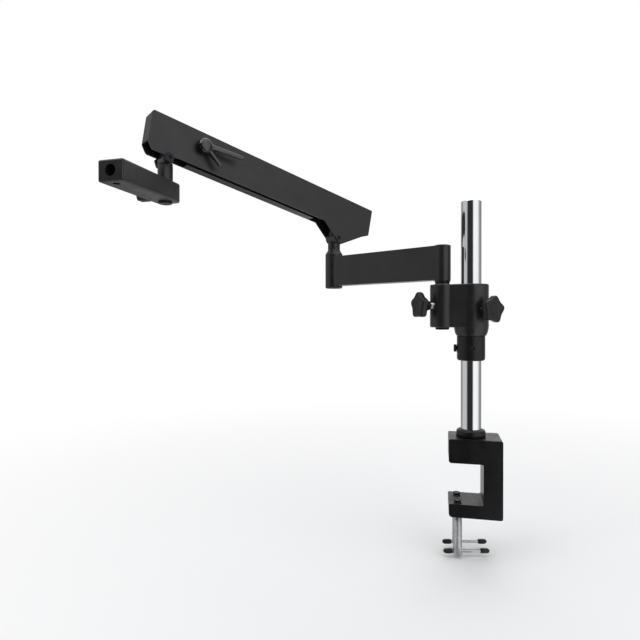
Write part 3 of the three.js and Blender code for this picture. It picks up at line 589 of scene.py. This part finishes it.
def scalloped(r0, r1, r2, x0, x1, n=20, bite=0.32):
    """Small thumb screw head with a scalloped rim, along +Z."""
    bm = bmesh.new()
    seg = n * 8
    rows = [(0, x0, 0), (r1 * 0.9, x0, 0), (r1 * 0.96, x0 + 0.15, 0.4), (r1, x0 + 0.7, 1), (r1, x1 - 1.0, 1), (r1 * 0.95, x1 - 0.35, 0.5), (r2, x1, 0), (r2 * 0.72, x1, 0), (r2 * 0.6, x1 - 0.35, 0), (0, x1 - 0.4, 0)]
    rings = []
    for r, z, w in rows:
        if r == 0:
            rings.append([bm.verts.new((0, 0, z))])
            continue
        rings.append([bm.verts.new(((r - w * bite * (0.5 - 0.5 * math.cos(n * a))) * math.cos(a), (r - w * bite * (0.5 - 0.5 * math.cos(n * a))) * math.sin(a), z)) for a in (2 * PI * i / seg for i in range(seg))])
    grid_faces(bm, rings, False)
    bmesh.ops.recalc_face_normals(bm, faces=bm.faces)
    return bm


th = together(moved(turned([(0, 16.3), (3.0, 16.3, 0.4), (3.0, 22.6), (0, 22.6)], 40), ALX), moved(scalloped(3, 6.0, 5.0, CR + 0.3, CR + 4.8), ALX))
piece("v_collar_thumb_screw", th, PLASTIC, "collar_screw", ["collar_thumb_screw"], m=T(0, 0, cs) @ RZ(rad(176)))

# ------------------------------------------------------------------ pillar block and star knobs

WEB = rad(111)
inner_az = WEB - math.acos((27 - P1X * math.cos(WEB)) / 19.4)
outline = [(27 * math.cos(-WEB + 2 * WEB * i / 64), 27 * math.sin(-WEB + 2 * WEB * i / 64)) for i in range(65)]
outline += [(P1X + 19.4 * math.cos(inner_az + (2 * PI - 2 * inner_az) * i / 48), 19.4 * math.sin(inner_az + (2 * PI - 2 * inner_az) * i / 48)) for i in range(49)]
lobe = rolled(outline, 209, 277, 1.9)
boss = turned([(0, 196), (22.8, 196, 1.3), (25.0, 200.8, 2), (26.6, 208.4, 4), (26.6, 214), (0, 214)], 128)
moved(boss, T(0.25, 0))
bore = lambda x, az, z, r, d0=8: moved(moved(cyl(r, d0, 36, 48), ALX), T(x, 0, z) @ RZ(rad(az)))
blk = cut(fuse(lobe, boss), cyl(16.15, 180, 300, 96), moved(cyl(9.15, 180, 300, 64), T(P1X, 0)), bore(0, -48, 236.8, 5.1), bore(P1X, 211, 243.5, 5.1),
          bore(0, -48, 236.8, 8.5, 24.4), bore(P1X, 211, 243.5, 8.5, 16.9))
piece("v_pillar_block", blk, PAINT, "block", ["pillar_block"], bevel=0.4, steps=3, angle=40)


def star(turn, seg=200):
    """Five lobe grip with a conical hub, built along +Z from the hub face."""
    def lobed(a):
        return 18.9 + 2.1 * math.cos(5 * (a - turn)) + 0.25 * math.cos(10 * (a - turn))
    rows = [(0, 5.1, 0, 0.0), (0, 6.4, 0, 0.0), (0, 6.8, 0, 0.2), (0, 7.05, 0, 0.7), (0, 7.4, 0, 2.0), (0, 7.9, 0, 4.0), (0, 8.5, 0, 5.8), (0.08, 9.0, 2, 7.2), (0.24, 9.6, 2, 8.4), (0.45, 10, 2, 9.4),
            (0.72, 10.6, 1.8, 10.7), (0.9, 11, 1.6, 11.5), (1, 0, 1.35, 12.05), (1, 0, 0.7, 12.8), (1, 0, 0.25, 13.5), (1, 0, 0.04, 14.3), (1, 0, 0, 15.6), (1, 0, 0, 19.2), (1, 0, 0.05, 20.1), (1, 0, 0.3, 20.9), (1, 0, 0.8, 21.6),
            (1, 0, 1.5, 22.1), (1, 0, 2.5, 22.42), (1, 0, 3.6, 22.5), (0.75, 9.6, 4.6, 22.46), (0.2, 9.6, 5.2, 22.3), (0, 9.2, 0, 22.2), (0, 8.7, 0, 21.8), (0, 8.2, 0, 21.65), (0, 4.5, 0, 21.6)]
    bm = bmesh.new()
    rings = []
    for w, rr, off, z in rows:
        rings.append([bm.verts.new((((1 - w) * rr + w * (lobed(a) - off)) * math.cos(a), ((1 - w) * rr + w * (lobed(a) - off)) * math.sin(a), z)) for a in (2 * PI * i / seg for i in range(seg))])
    rings.append([bm.verts.new((0, 0, 21.6))])
    # blind hole for the stud
    hole_rings = [[bm.verts.new((0, 0, 18.5))], [bm.verts.new((5.1 * math.cos(2 * PI * i / seg), 5.1 * math.sin(2 * PI * i / seg), 18.5)) for i in range(seg)]]
    grid_faces(bm, hole_rings + rings, False)
    bmesh.ops.recalc_face_normals(bm, faces=bm.faces)
    return bm


def stud(tip, end, r=5.0, pitch=1.5):
    t = thread(r - 0.02, 0.5, pitch, tip + 1.2, end, 48, 8, 1.0)
    nose = turned([(0, tip), (3.6, tip, 0.3), (r - 0.7, tip + 1.3, 0.1), (0, tip + 1.3)], 48)
    return together(t, nose)


for body, x, az, z, face, tip, turn in (("post_knob", 0, -48, 236.8, 27, POST_R + 0.3, rad(170)), ("shoulder_knob", P1X, 211, 243.5, 23.9, PIN_R + 0.3, PI)):
    F = T(x, 0, z) @ RZ(rad(az)) @ ALX
    piece(f"v_{body}_grip", moved(star(turn), T(0, 0, face)), PLASTIC, body, [f"{body}_grip"], m=F, weighted=False)
    piece(f"v_{body}_stud", stud(tip, face + 18.2), CHROME_SMALL, body, [f"{body}_stud"], m=F, weighted=False)

# ------------------------------------------------------------------ lower arm

h = ARM1_T / 2
beam = prism(capsule(0, h, ARM1_L, h + 1e-4, 32), A1Z0, A1Z1)
boss1 = turned([(0, 278.3), (10.8, 278.3, 0.5), (12.9, 283.8, 1.2), (13.1, 286), (13.1, 339.2, 0.4), (11.7, 340.4, 0.7), (0, 340.4)], 96)
boss2 = moved(turned([(0, 280), (14.6, 280, 0.5), (16.3, 282, 1.0), (16.3, 344.6, 1.0), (15.5, 345.9, 0.8), (11.9, 351.4, 0.6), (11.0, 352, 0.3), (0, 352)], 96), T(ARM1_L, 0))
arm1 = cut(fuse(beam, boss1, boss2), cyl(PIN_R + 0.1, 270, 330, 64), moved(cyl(PIN_R + 0.15, 270, 360, 64), T(ARM1_L, 0)), moved(cyl(13, 270, 284.6, 64), T(ARM1_L, 0)))
piece("v_lower_arm", arm1, PAINT, "arm_lower", ["lower_arm"], m=ARM1, bevel=1.3, steps=4)
pin = turned([(0, 209.05), (PIN_R, 209.05, 0.6), (PIN_R, 329.7, 0.7), (0, 329.7)], 72)
piece("v_shoulder_pin", cut(pin, cyl(3.05, 200, 224, 32)), STEEL, "arm_lower", ["shoulder_pin"], m=ARM1, bevel=0.2, steps=2, angle=40)
piece("v_shoulder_washer", ringed([(9.3, 277.3, 0.12), (12.4, 277.3, 0.15), (12.4, 278, 0.15), (9.3, 278, 0.12)], 96, 3), WASHER, "arm_lower", ["shoulder_washer"], m=ARM1, weighted=False)
ret = cut(together(turned([(0, 205.2), (9.4, 205.2, 0.5), (11, 206.6, 0.5), (11, 208.7, 0.3), (0, 208.7)], 96), cyl(3, 208.4, 222, 32)), moved(cyl(2.9, 200, 207.4, 6), WORLD))
piece("v_shoulder_retainer", ret, BLACKED, "arm_lower", ["shoulder_retainer"], m=ARM1, bevel=0.15, steps=2, angle=40)
piece("v_elbow_washer", ringed([(9.3, 352.2, 0.1), (11.8, 352.2, 0.12), (11.8, 352.7, 0.12), (9.3, 352.7, 0.1)], 96, 3), WASHER, "arm_lower", ["elbow_washer"], m=ARM1 @ T(ARM1_L, 0), weighted=False)

# ------------------------------------------------------------------ knuckles


def lug_y(x0, x1, z0, z1, r, y0, y1):
    return prism_y(fillet([(x0, z0), (x1, z0), (x1 - 0.4, z1, r), (x0 + 0.4, z1, r)], n=8), y0, y1)


zA, zB = LIFT_Z, LIFT_Z + LINK_H
core = fuse(turned([(0, 362), (STEM_R - 0.2, 362), (STEM_R - 0.2, 369, 1.5), (0, 369)], 72), cyl_y(10.5, 0, zA, -13.1, 13.1), lug_y(-9, 9, zA, zB + 8, 7.6, -5, 5))
core = cast(core, 0.55, 7)
kn = cut(core, cyl_y(4.15, 0, zA, -20, 20, 40), cyl_y(4.05, 0, zB, -20, 20, 40))
shaft = cut(turned([(0, 284.9), (PIN_R, 284.9, 0.4), (PIN_R, 353.0), (STEM_R, 353.0, 0.5), (STEM_R, 364.6, 1.2), (0, 364.6)], 96), cyl(3.05, 270, 300, 32))
piece("v_elbow_knuckle", together(kn, shaft), PAINT, "elbow", ["elbow_knuckle"], m=K2, bevel=0.25, steps=2, angle=48, weighted=False)
er = cut(together(turned([(0, 280.6), (11.5, 280.6, 0.4), (12.4, 281.5, 0.4), (12.4, 284.3, 0.3), (0, 284.3)], 96), cyl(3, 284, 298, 32)), cyl(3.0, 270, 282.8, 6))
piece("v_elbow_retainer", er, BLACKED, "elbow", ["elbow_retainer"], m=K2, bevel=0.15, steps=2, angle=40)
piece("v_elbow_link_pin", moved(turned([(0, -9.6), (4, -9.6, 0.4), (4, 11.2, 0.4), (0, 11.2)], 56), T(0, 0, zB) @ ALY), STEEL, "elbow", ["elbow_link_pin"], m=K2, weighted=False)

zA, zB = B1Z, B1Z + LINK_H
core = fuse(turned([(0, zA - 12), (STEM_R - 0.2, zA - 12), (STEM_R - 0.2, zA - 4.8, 1.5), (0, zA - 4.8)], 72), cyl_y(8.6, 0, zA, -13.1, 13.1), lug_y(-8, 8, zA, zB + 8, 7.2, -5, 5))
core = cast(core, 0.55, 7)
kn = cut(core, cyl_y(4.15, 0, zA, -20, 20, 40), cyl_y(4.05, 0, zB, -20, 20, 40))
shaft = cut(turned([(0, B3Z0 + 1), (PIN_R, B3Z0 + 1, 0.4), (PIN_R, B3Z1 + 0.6), (STEM_R, B3Z1 + 0.6, 0.6), (STEM_R, zA - 9.6, 1.2), (0, zA - 9.6)], 96), cyl(3.05, 390, 416, 32))
piece("v_end_knuckle", together(kn, shaft), PAINT, "end", ["end_knuckle"], m=K3, bevel=0.25, steps=2, angle=48, weighted=False)
piece("v_end_link_pin", moved(turned([(0, -5.6), (4, -5.6, 0.4), (4, 11.2, 0.4), (0, 11.2)], 56), T(0, 0, zB) @ ALY), STEEL, "end", ["end_link_pin"], m=K3, weighted=False)
er = cut(together(turned([(0, B3Z0 - 3), (9.2, B3Z0 - 3, 0.5), (10.6, B3Z0 - 1.9, 0.4), (10.6, B3Z0 - 0.3, 0.2), (0, B3Z0 - 0.3)], 96), cyl(3, B3Z0 - 0.6, 414, 32)), cyl(2.8, 390, B3Z0 - 1.4, 6))
piece("v_end_retainer", er, BLACKED, "end", ["end_retainer"], m=K3, bevel=0.15, steps=2, angle=40)

# ------------------------------------------------------------------ spring arm channel

side = fillet([(-78.5, 28, 1.5), (-80, -22.5, 2), (-65.6, -29.3, 4), (-17.5, -60.5, 2.5), (21.2, -32.6, 3), (27, -28.2, 3), (312, -28.2, 3), (335, -31.2, 6), (354, -31, 6), (362.5, -20, 6), (366, 28, 4)], n=7)
outer = prism_y(side, -W2, W2)
outer.edges.ensure_lookup_table()
fold = [e for e in outer.edges
        if abs(e.verts[0].co.y - e.verts[1].co.y) < 1e-5 and min(e.verts[0].co.z, e.verts[1].co.z) > -19.5
        and (max(e.verts[0].co.z, e.verts[1].co.z) > 21 or e.verts[0].co.x < -60 or e.verts[0].co.x > 350)]
bmesh.ops.bevel(outer, geom=fold, offset=1.7, offset_type="OFFSET", segments=5, profile=0.5, affect="EDGES", clamp_overlap=True)
bmesh.ops.recalc_face_normals(outer, faces=outer.faces)
outer = fuse(outer, cyl_y(8.4, B1[0], B1[1], -W2, W2, 72))
wi = W2 - SHEET
inner = prism_y([(-80, -90), (355.4, -90), (363.85, 26), (-76.5, 26)], -wi, wi)
shell = cut(outer, inner, block(340, 372, -wi, wi, -90, -18.5), block(-90, -70, -wi, wi, -90, -23))
shell = fuse(shell, block(45, 294, -W2 + 0.6, 3.2, -28.2, -26.4))
shell = cut(shell, cyl_y(4.05, A1[0], A1[1], -30, 30, 40), cyl_y(4.05, B1[0], B1[1], -30, 30, 40), cyl_y(4.3, LEVER_S, LEVER_T, 5, 30, 40))
piece("v_arm_channel", shell, PAINT, "spring_arm", ["arm_channel"], m=TIL, bevel=0.38, steps=2, angle=40)

lp = cut(moved(turned([(0, -W2 + 0.2), (3.9, -W2 + 0.2, 0.5), (3.9, W2 - 0.2, 0.5), (0, W2 - 0.2)], 56), ALY), moved(cyl(2, W2 - 2.4, W2 + 5, 6), ALY))
piece("v_elbow_lift_pin", lp, BLACKED, "spring_arm", ["elbow_lift_pin"], m=TIL @ T(A1[0], 0, A1[1]), bevel=0.15, steps=2, angle=40)
bolt = cut(turned([(0, -W2 - 6.8), (3.2, -W2 - 6.8, 0.3), (3.9, -W2 - 6, 0.2), (3.9, W2 + 0.3, 0.1), (7.5, W2 + 0.3, 0.4), (7.5, W2 + 4.6, 0.8), (0, W2 + 4.6)], 80), cyl(3.4, W2 + 1.4, W2 + 9, 6))
piece("v_end_lift_bolt", bolt, BLACKED, "spring_arm", ["end_lift_bolt"], m=TIL @ T(B1[0], 0, B1[1]) @ ALY, bevel=0.25, steps=2, angle=40)
nut = cut(prism(circle(11, 6), -W2 - 6, -W2 - 0.3), cyl(4.05, -40, 0, 40))
nut = mix(nut, [turned([(0, -W2 - 6.2), (9.6, -W2 - 6.2), (11.4, -W2 - 4.9), (11.4, -W2 - 0.2), (0, -W2 - 0.2)], 64)], "INTERSECT")
piece("v_end_lift_nut", nut, BLACKED, "spring_arm", ["end_lift_nut"], m=TIL @ T(B1[0], 0, B1[1]) @ ALY, bevel=0.2, steps=2, angle=40)

dx, dz = B2[0] - A2[0], B2[1] - A2[1]
LL, ang = math.hypot(dx, dz), math.atan2(dz, dx)
tl = fillet([(-8, -8, 7.6), (236, -7.4, 5), (320, -8, 4), (LL + 8, -8, 7.6), (LL + 8, 8, 7.6), (328, 8, 4), (316, 20.2, 4), (252, 20.2, 4), (240, 7, 5), (-8, 8, 7.6)], n=8)
sx = LEVER_S - A2[0]
sz = LEVER_T - A2[1] - sx * math.tan(ang)
slot = prism_y(fillet([(sx - 20, sz - 6, 5), (sx + 31, sz - 6, 5), (sx + 31, sz + 12, 5), (sx - 20, sz + 12, 5)], n=8), 0, 20)
tie = cut(prism_y(tl, 6.5, 10.5), slot, cyl_y(4.15, 0, 0, 0, 20, 40), cyl_y(4.5, LL, 0, 0, 20, 40))
piece("v_tie_link", tie, STEEL, "link", ["tie_link"], m=TIL @ T(A2[0], 0, A2[1]) @ RY(-ang), bevel=0.3, steps=2)

LV = TIL @ T(LEVER_S, 0, LEVER_T)
piece("v_brake_spacer", ringed([(4.3, 10.8, 0.2), (12.2, 10.8, 0.4), (12.2, wi - 0.3, 0.4), (4.3, wi - 0.3, 0.2)], 80, 3), STEEL, "spring_arm", ["brake_spacer"], m=LV @ ALY, weighted=False)
piece("v_brake_nut", ringed([(4.05, 1.6, 0.2), (12.2, 1.6, 0.8), (12.2, 6.2, 0.8), (4.05, 6.2, 0.2)], 80, 3), STEEL, "spring_arm", ["brake_nut"], m=LV @ ALY, weighted=False)
piece("v_lever_stud", stud(0.6, 29.0, 4.0, 1.25), STEEL, "lever", ["lever_stud"], m=LV @ ALY, weighted=False)


def swept(path, radii, seg=36, flat=1.0):
    """Round bar along a path of points with a radius at each, ends closed. flat squeezes it across y."""
    bm = bmesh.new()
    rings = []
    for k, (p, r) in enumerate(zip(path, radii)):
        p = Vector(p)
        d = (Vector(path[min(k + 1, len(path) - 1)]) - Vector(path[max(k - 1, 0)])).normalized()
        u = d.cross(Vector((0, 1, 0))).normalized()
        v = d.cross(u).normalized()
        if r < 1e-6:
            rings.append([bm.verts.new(p)])
        else:
            rings.append([bm.verts.new(p + u * (r * math.cos(2 * PI * i / seg)) + v * (r * flat * math.sin(2 * PI * i / seg))) for i in range(seg)])
    grid_faces(bm, rings, False)
    bmesh.ops.recalc_face_normals(bm, faces=bm.faces)
    return bm


def limb(ux, uz, y0, y1, x0, x1, ra, rb, flat=0.9):
    L = math.hypot(ux, uz)
    ux, uz = ux / L, uz / L
    pts, rr = [], []
    n = 16
    for k in range(n + 1):
        f = k / n
        d = x0 + (x1 - x0) * f
        s = f * f * (3 - 2 * f)
        pts.append((ux * d, y0 + (y1 - y0) * s, uz * d))
        rr.append(ra + (rb - ra) * f)
    for a in (25, 50, 70, 84):
        d = x1 + rb * math.sin(rad(a))
        pts.append((ux * d, y1, uz * d))
        rr.append(rb * math.cos(rad(a)))
    d = x1 + rb
    pts.append((ux * d, y1, uz * d))
    rr.append(0)
    rr[0] = ra
    pts.insert(0, (ux * (x0 - 0.5), y0, uz * (x0 - 0.5)))
    rr.insert(0, 0)
    return swept(pts, rr, flat=flat)


hub = moved(turned([(0, W2 + 0.6), (11, W2 + 0.6, 0.4), (12, 17.4, 1.0), (12.2, 24, 2), (11.3, 27.8, 2.5), (9.2, 30.8, 2.5), (5.2, 32.6, 2), (0, 33.1)], 96), ALY)
lev = fuse(hub, limb(-1, 0.045, 26, 32.5, 3, 60.5, 5.6, 3.3, 0.85), limb(-0.777, -0.63, 25.4, 29.5, 3, 36.5, 4.6, 3.5, 0.85))
lev = cast(lev, 0.42, 9)
lev = cut(lev, moved(cyl(4.05, 0, 29.8, 40), ALY))
piece("v_lock_lever", lev, LEVER, "lever", ["lock_lever"], m=LV, weighted=False)

seat = cut(block(88, 95, -wi + 0.3, 5.6, -14, 25.6), prism_y([(80, -17.5), (100, -17.5), (100, -4), (80, -4)], -9.6, -0.4))
piece("v_spring_seat", seat, STEEL, "spring_arm", ["spring_seat"], m=TIL, bevel=0.4, steps=3)
RD = TIL @ T(A2[0], 0, A2[1]) @ RY(-rad(1.2))
eye = cut(prism_y(fillet([(-8, -8, 7.6), (16, -8, 3), (28, -3, 2), (28, 3, 2), (16, 8, 3), (-8, 8, 7.6)], n=7), -9.2, -5.4), cyl_y(4.15, 0, 0, -20, 20, 40))
rod = together(eye, moved(thread(2.98, 0.35, 1.0, 18, 222, 32, 6), T(0, -5, 0) @ ALX))
piece("v_draw_rod", rod, STEEL, "draw", ["draw_rod"], m=RD, bevel=0.25, steps=2, angle=48, weighted=False)
piece("v_rod_nut", moved(ringed([(3.05, 208, 0.1), (8, 208, 0.8), (8, 216, 0.8), (3.05, 216, 0.1)], 64, 3), T(0, -5, 0) @ ALX), STEEL, "draw", ["rod_nut"], m=RD, weighted=False)


def coil(x0, x1, r, wire, turns, per=28, seg=12):
    n = int(turns * per)
    lead = 1.5
    pts = []
    for i in range(n + 1):
        f = i / n
        t = f * turns
        body = (x1 - x0) - 2 * wire * 2.05
        if t < lead:
            x = x0 + wire + t / lead * wire * 2.05 * 0.7
        elif t > turns - lead:
            x = x1 - wire - (turns - t) / lead * wire * 2.05 * 0.7
        else:
            a, b = x0 + wire + wire * 2.05 * 0.7, x1 - wire - wire * 2.05 * 0.7
            x = a + (b - a) * (t - lead) / (turns - 2 * lead)
        pts.append(Vector((x, -5 + r * math.cos(2 * PI * t), r * math.sin(2 * PI * t))))
    bm = bmesh.new()
    rings = [[bm.verts.new(pts[0])]]
    for k, p in enumerate(pts):
        d = (pts[min(k + 1, n)] - pts[max(k - 1, 0)]).normalized()
        u = Vector((0, p.y + 5, p.z)).normalized()
        u = (u - d * u.dot(d)).normalized()
        v = d.cross(u)
        rings.append([bm.verts.new(p + u * (wire * math.cos(2 * PI * i / seg)) + v * (wire * math.sin(2 * PI * i / seg))) for i in range(seg)])
    rings.append([bm.verts.new(pts[-1])])
    grid_faces(bm, rings, False)
    bmesh.ops.recalc_face_normals(bm, faces=bm.faces)
    return bm


piece("v_balance_spring", coil(98.8, 207.4, 5.9, 1.45, 22), SPRING, "draw", ["balance_spring"], m=RD, weighted=False)

# ------------------------------------------------------------------ crossbar

w, zc = B3W / 2, (B3Z0 + B3Z1) / 2
bar = cut(rolled(fillet([(B3X0, -w, 8), (B3X1, -w, 3), (B3X1, w, 3), (B3X0, w, 8)], n=8), B3Z0, B3Z1, 2.8, 6),
          cyl(9.15, 380, 450, 64), moved(moved(cyl(8.05, B3X1 - 46, B3X1 + 10, 72), ALX), T(0, 0, zc)), moved(cyl(5.05, 390, zc, 48), T(116, 0)),
          moved(moved(cyl(4.1, -40, -5, 40), ALY), T(0, 0, zc)))
piece("v_crossbar", bar, PAINT, "crossbar", ["crossbar"], m=BAR3, bevel=0.5, steps=3, angle=40)
hs = cut(turned([(0, B3Z0 + 1.6), (4.85, B3Z0 + 1.6, 0.4), (4.85, zc - 8.35, 0.6), (0, zc - 8.35)], 56), cyl(2.6, 380, B3Z0 + 4, 6))
piece("v_head_set_screw", hs, BLACKED, "head_screw", ["head_set_screw"], m=BAR3 @ T(116, 0), bevel=0.15, steps=2, angle=40)


def fluted(seg=192):
    """Small round knob with shallow flutes, along -Y from y = 0."""
    def rim(a):
        return 11.2 + 0.9 * math.cos(6 * a)
    rows = [(0, 4.1, 0, 0), (0, 6.0, 0, 0), (0, 6.3, 0, 0.4), (0, 6.8, 0, 3.2), (0.1, 7.2, 0, 4.6), (0.7, 8, 1.9, 5.0), (1, 0, 1.4, 5.1), (1, 0, 0.6, 5.6), (1, 0, 0.15, 6.4), (1, 0, 0, 7.6), (1, 0, 0, 21.4),
            (1, 0, 0.2, 22.6), (1, 0, 0.8, 23.5), (1, 0, 1.8, 24.0), (0.6, 8, 3.2, 24.0), (0, 7.4, 0, 23.9), (0, 6.9, 0, 23.5), (0, 3.5, 0, 23.4)]
    bm = bmesh.new()
    ring = lambda f, z: [bm.verts.new((f(a) * math.cos(a), f(a) * math.sin(a), z)) for a in (2 * PI * i / seg for i in range(seg))]
    rings = [[bm.verts.new((0, 0, 14.3))], ring(lambda a: 4.1, 14.3)] + [ring(lambda a: (1 - w_) * rr + w_ * (rim(a) - off), z) for w_, rr, off, z in rows] + [[bm.verts.new((0, 0, 23.4))]]
    grid_faces(bm, rings, False)
    bmesh.ops.recalc_face_normals(bm, faces=bm.faces)
    return bm


piece("v_crossbar_knob_grip", moved(fluted(), T(0, -w - 3, zc) @ RX(PI / 2)), PLASTIC, "crossbar_knob", ["crossbar_knob_grip"], m=BAR3, weighted=False)
piece("v_crossbar_knob_stud", moved(turned([(0, -w - 17), (3.9, -w - 17, 0.3), (3.9, -10.4, 0.4), (3.0, -9.3, 0.2), (0, -9.3)], 56), T(0, 0, zc) @ ALY),
      STEEL, "crossbar_knob", ["crossbar_knob_stud"], m=BAR3, weighted=False)

# ------------------------------------------------------------------ floor, light and camera

# soft lobes of the surround: azimuth, half width where they begin, half width where they are full, strength
BASE = 0.29
LOBES = ((rad(-45), rad(62), rad(10), 0.85), (rad(92), rad(44), rad(14), 0.62), (rad(-168), rad(42), rad(14), 0.34))
GAP_AZ, GAP_OUT, GAP_IN = rad(-103), rad(38), rad(25)


def put(tree, kind, **kw):
    n = tree.nodes.new(kind)
    for k, v in kw.items():
        setattr(n, k, v)
    return n


def surround(tree, vec):
    """Brightness of the soft surround in a horizontal direction, with a dark gap behind the camera."""
    flat, unit = put(tree, "ShaderNodeVectorMath", operation="MULTIPLY"), put(tree, "ShaderNodeVectorMath", operation="NORMALIZE")
    flat.inputs[1].default_value = (1, 1, 0)
    tree.links.new(vec, flat.inputs[0])
    tree.links.new(flat.outputs[0], unit.inputs[0])

    def lobe(az, wide, full, strength):
        dot = put(tree, "ShaderNodeVectorMath", operation="DOT_PRODUCT")
        dot.inputs[1].default_value = (math.cos(az), math.sin(az), 0)
        tree.links.new(unit.outputs[0], dot.inputs[0])
        mr = put(tree, "ShaderNodeMapRange", interpolation_type="SMOOTHSTEP")
        tree.links.new(dot.outputs["Value"], mr.inputs[0])
        for i, x in zip((1, 2, 3, 4), (math.cos(wide), math.cos(full), 0.0, strength)):
            mr.inputs[i].default_value = x
        return mr.outputs[0]

    total = None
    for spec in LOBES:
        add = put(tree, "ShaderNodeMath", operation="ADD")
        tree.links.new(lobe(*spec), add.inputs[0])
        if total is None:
            add.inputs[1].default_value = BASE
        else:
            tree.links.new(total, add.inputs[1])
        total = add.outputs[0]
    m = put(tree, "ShaderNodeMix", data_type="FLOAT")
    tree.links.new(lobe(GAP_AZ, GAP_OUT, GAP_IN, 1.0), m.inputs[0])
    tree.links.new(total, m.inputs[2])
    m.inputs[3].default_value = 0.03
    return m.outputs[0]


# The floor is diffuse near the stand and glows further out. To the camera it glows plain white. For reflections and
# bounce it glows as painted light, copying the surround's lobes and its dark gap behind the camera.
floor_bm = bmesh.new()
bmesh.ops.create_grid(floor_bm, x_segments=8, y_segments=8, size=6.0)
floor = as_object(floor_bm, "floor")
floor.location = (0, 0, -0.1505)
fm = bpy.data.materials.new("floor")
fm.use_nodes = True
nt = fm.node_tree
nt.nodes.clear()
out, mixs, dif, emi = put(nt, "ShaderNodeOutputMaterial"), put(nt, "ShaderNodeMixShader"), put(nt, "ShaderNodeBsdfDiffuse"), put(nt, "ShaderNodeEmission")
geo, ln, path = put(nt, "ShaderNodeNewGeometry"), put(nt, "ShaderNodeVectorMath", operation="LENGTH"), put(nt, "ShaderNodeLightPath")
dif.inputs[0].default_value = (0.94, 0.94, 0.942, 1)
nt.links.new(geo.outputs["Position"], ln.inputs[0])
reach, seen = [], path.outputs["Is Camera Ray"]
for near, far in ((0.05, 0.30), (0.25, 1.6)):
    mr = put(nt, "ShaderNodeMapRange", interpolation_type="SMOOTHSTEP")
    nt.links.new(ln.outputs["Value"], mr.inputs[0])
    mr.inputs[1].default_value, mr.inputs[2].default_value, mr.inputs[3].default_value, mr.inputs[4].default_value = near, far, 0.0, 1.0
    reach.append(mr.outputs[0])
fade, glow = put(nt, "ShaderNodeMix", data_type="FLOAT"), put(nt, "ShaderNodeMix", data_type="FLOAT")
nt.links.new(seen, fade.inputs[0])
nt.links.new(reach[0], fade.inputs[2])
nt.links.new(reach[1], fade.inputs[3])
nt.links.new(seen, glow.inputs[0])
nt.links.new(surround(nt, geo.outputs["Position"]), glow.inputs[2])
glow.inputs[3].default_value = 1.0
nt.links.new(glow.outputs[0], emi.inputs[1])
nt.links.new(fade.outputs[0], mixs.inputs[0])
nt.links.new(dif.outputs[0], mixs.inputs[1])
nt.links.new(emi.outputs[0], mixs.inputs[2])
nt.links.new(mixs.outputs[0], out.inputs[0])
floor.data.materials.append(fm)

world = bpy.data.worlds.new("studio")
SCENE.world = world
world.use_nodes = True
wt = world.node_tree
wt.nodes.clear()
wo, wm = put(wt, "ShaderNodeOutputWorld"), put(wt, "ShaderNodeMixShader")
bg_cam, bg_lit, lpath = put(wt, "ShaderNodeBackground"), put(wt, "ShaderNodeBackground"), put(wt, "ShaderNodeLightPath")
tc, sep = put(wt, "ShaderNodeTexCoord"), put(wt, "ShaderNodeSeparateXYZ")
wt.links.new(tc.outputs["Generated"], sep.inputs[0])
# the top is a large soft box, brighter than the sides
up, top_mix = put(wt, "ShaderNodeMapRange", interpolation_type="SMOOTHSTEP"), put(wt, "ShaderNodeMix", data_type="FLOAT")
wt.links.new(sep.outputs[2], up.inputs[0])
for i, x in zip((1, 2, 3, 4), (0.58, 1.0, 0.0, 1.0)):
    up.inputs[i].default_value = x
wt.links.new(up.outputs[0], top_mix.inputs[0])
wt.links.new(surround(wt, tc.outputs["Generated"]), top_mix.inputs[2])
top_mix.inputs[3].default_value = 1.35
wt.links.new(top_mix.outputs[0], bg_lit.inputs[1])
bg_lit.inputs[0].default_value = (0.985, 0.99, 1.0, 1)
bg_cam.inputs[0].default_value = (1, 1, 1, 1)
bg_cam.inputs[1].default_value = 1.0
wt.links.new(lpath.outputs["Is Camera Ray"], wm.inputs[0])
wt.links.new(bg_lit.outputs[0], wm.inputs[1])
wt.links.new(bg_cam.outputs[0], wm.inputs[2])
wt.links.new(wm.outputs[0], wo.inputs[0])


def softbox(name, loc, target, size, power):
    d = bpy.data.lights.new(name, "AREA")
    d.shape, d.size, d.size_y, d.energy = "RECTANGLE", size[0], size[1], power
    o = bpy.data.objects.new(name, d)
    SCENE.collection.objects.link(o)
    o.location = loc
    o.rotation_euler = (Vector(target) - Vector(loc)).to_track_quat("-Z", "Y").to_euler()
    return o


softbox("key", (-0.9, -0.9, 1.35), (-0.2, 0, 0.3), (0.9, 0.7), 4.0)
softbox("rim", (0.3, 0.9, 1.25), (-0.1, 0, 0.3), (0.9, 0.7), 2.0)

SCENE.view_settings.view_transform = "Standard"
SCENE.view_settings.look = "None"
SCENE.view_settings.exposure = 0.0
SCENE.view_settings.gamma = 1.0

cam_data = bpy.data.cameras.new("camera")
cam_data.lens, cam_data.sensor_width, cam_data.sensor_fit = 29.25, 36.0, "HORIZONTAL"
cam_data.clip_start, cam_data.clip_end = 0.01, 50
cam = bpy.data.objects.new("camera", cam_data)
cam.location = (-0.0537, -0.8558, 0.225)
cam.rotation_euler = (rad(89.7), 0, rad(12.6))
SCENE.collection.objects.link(cam)
SCENE.camera = cam
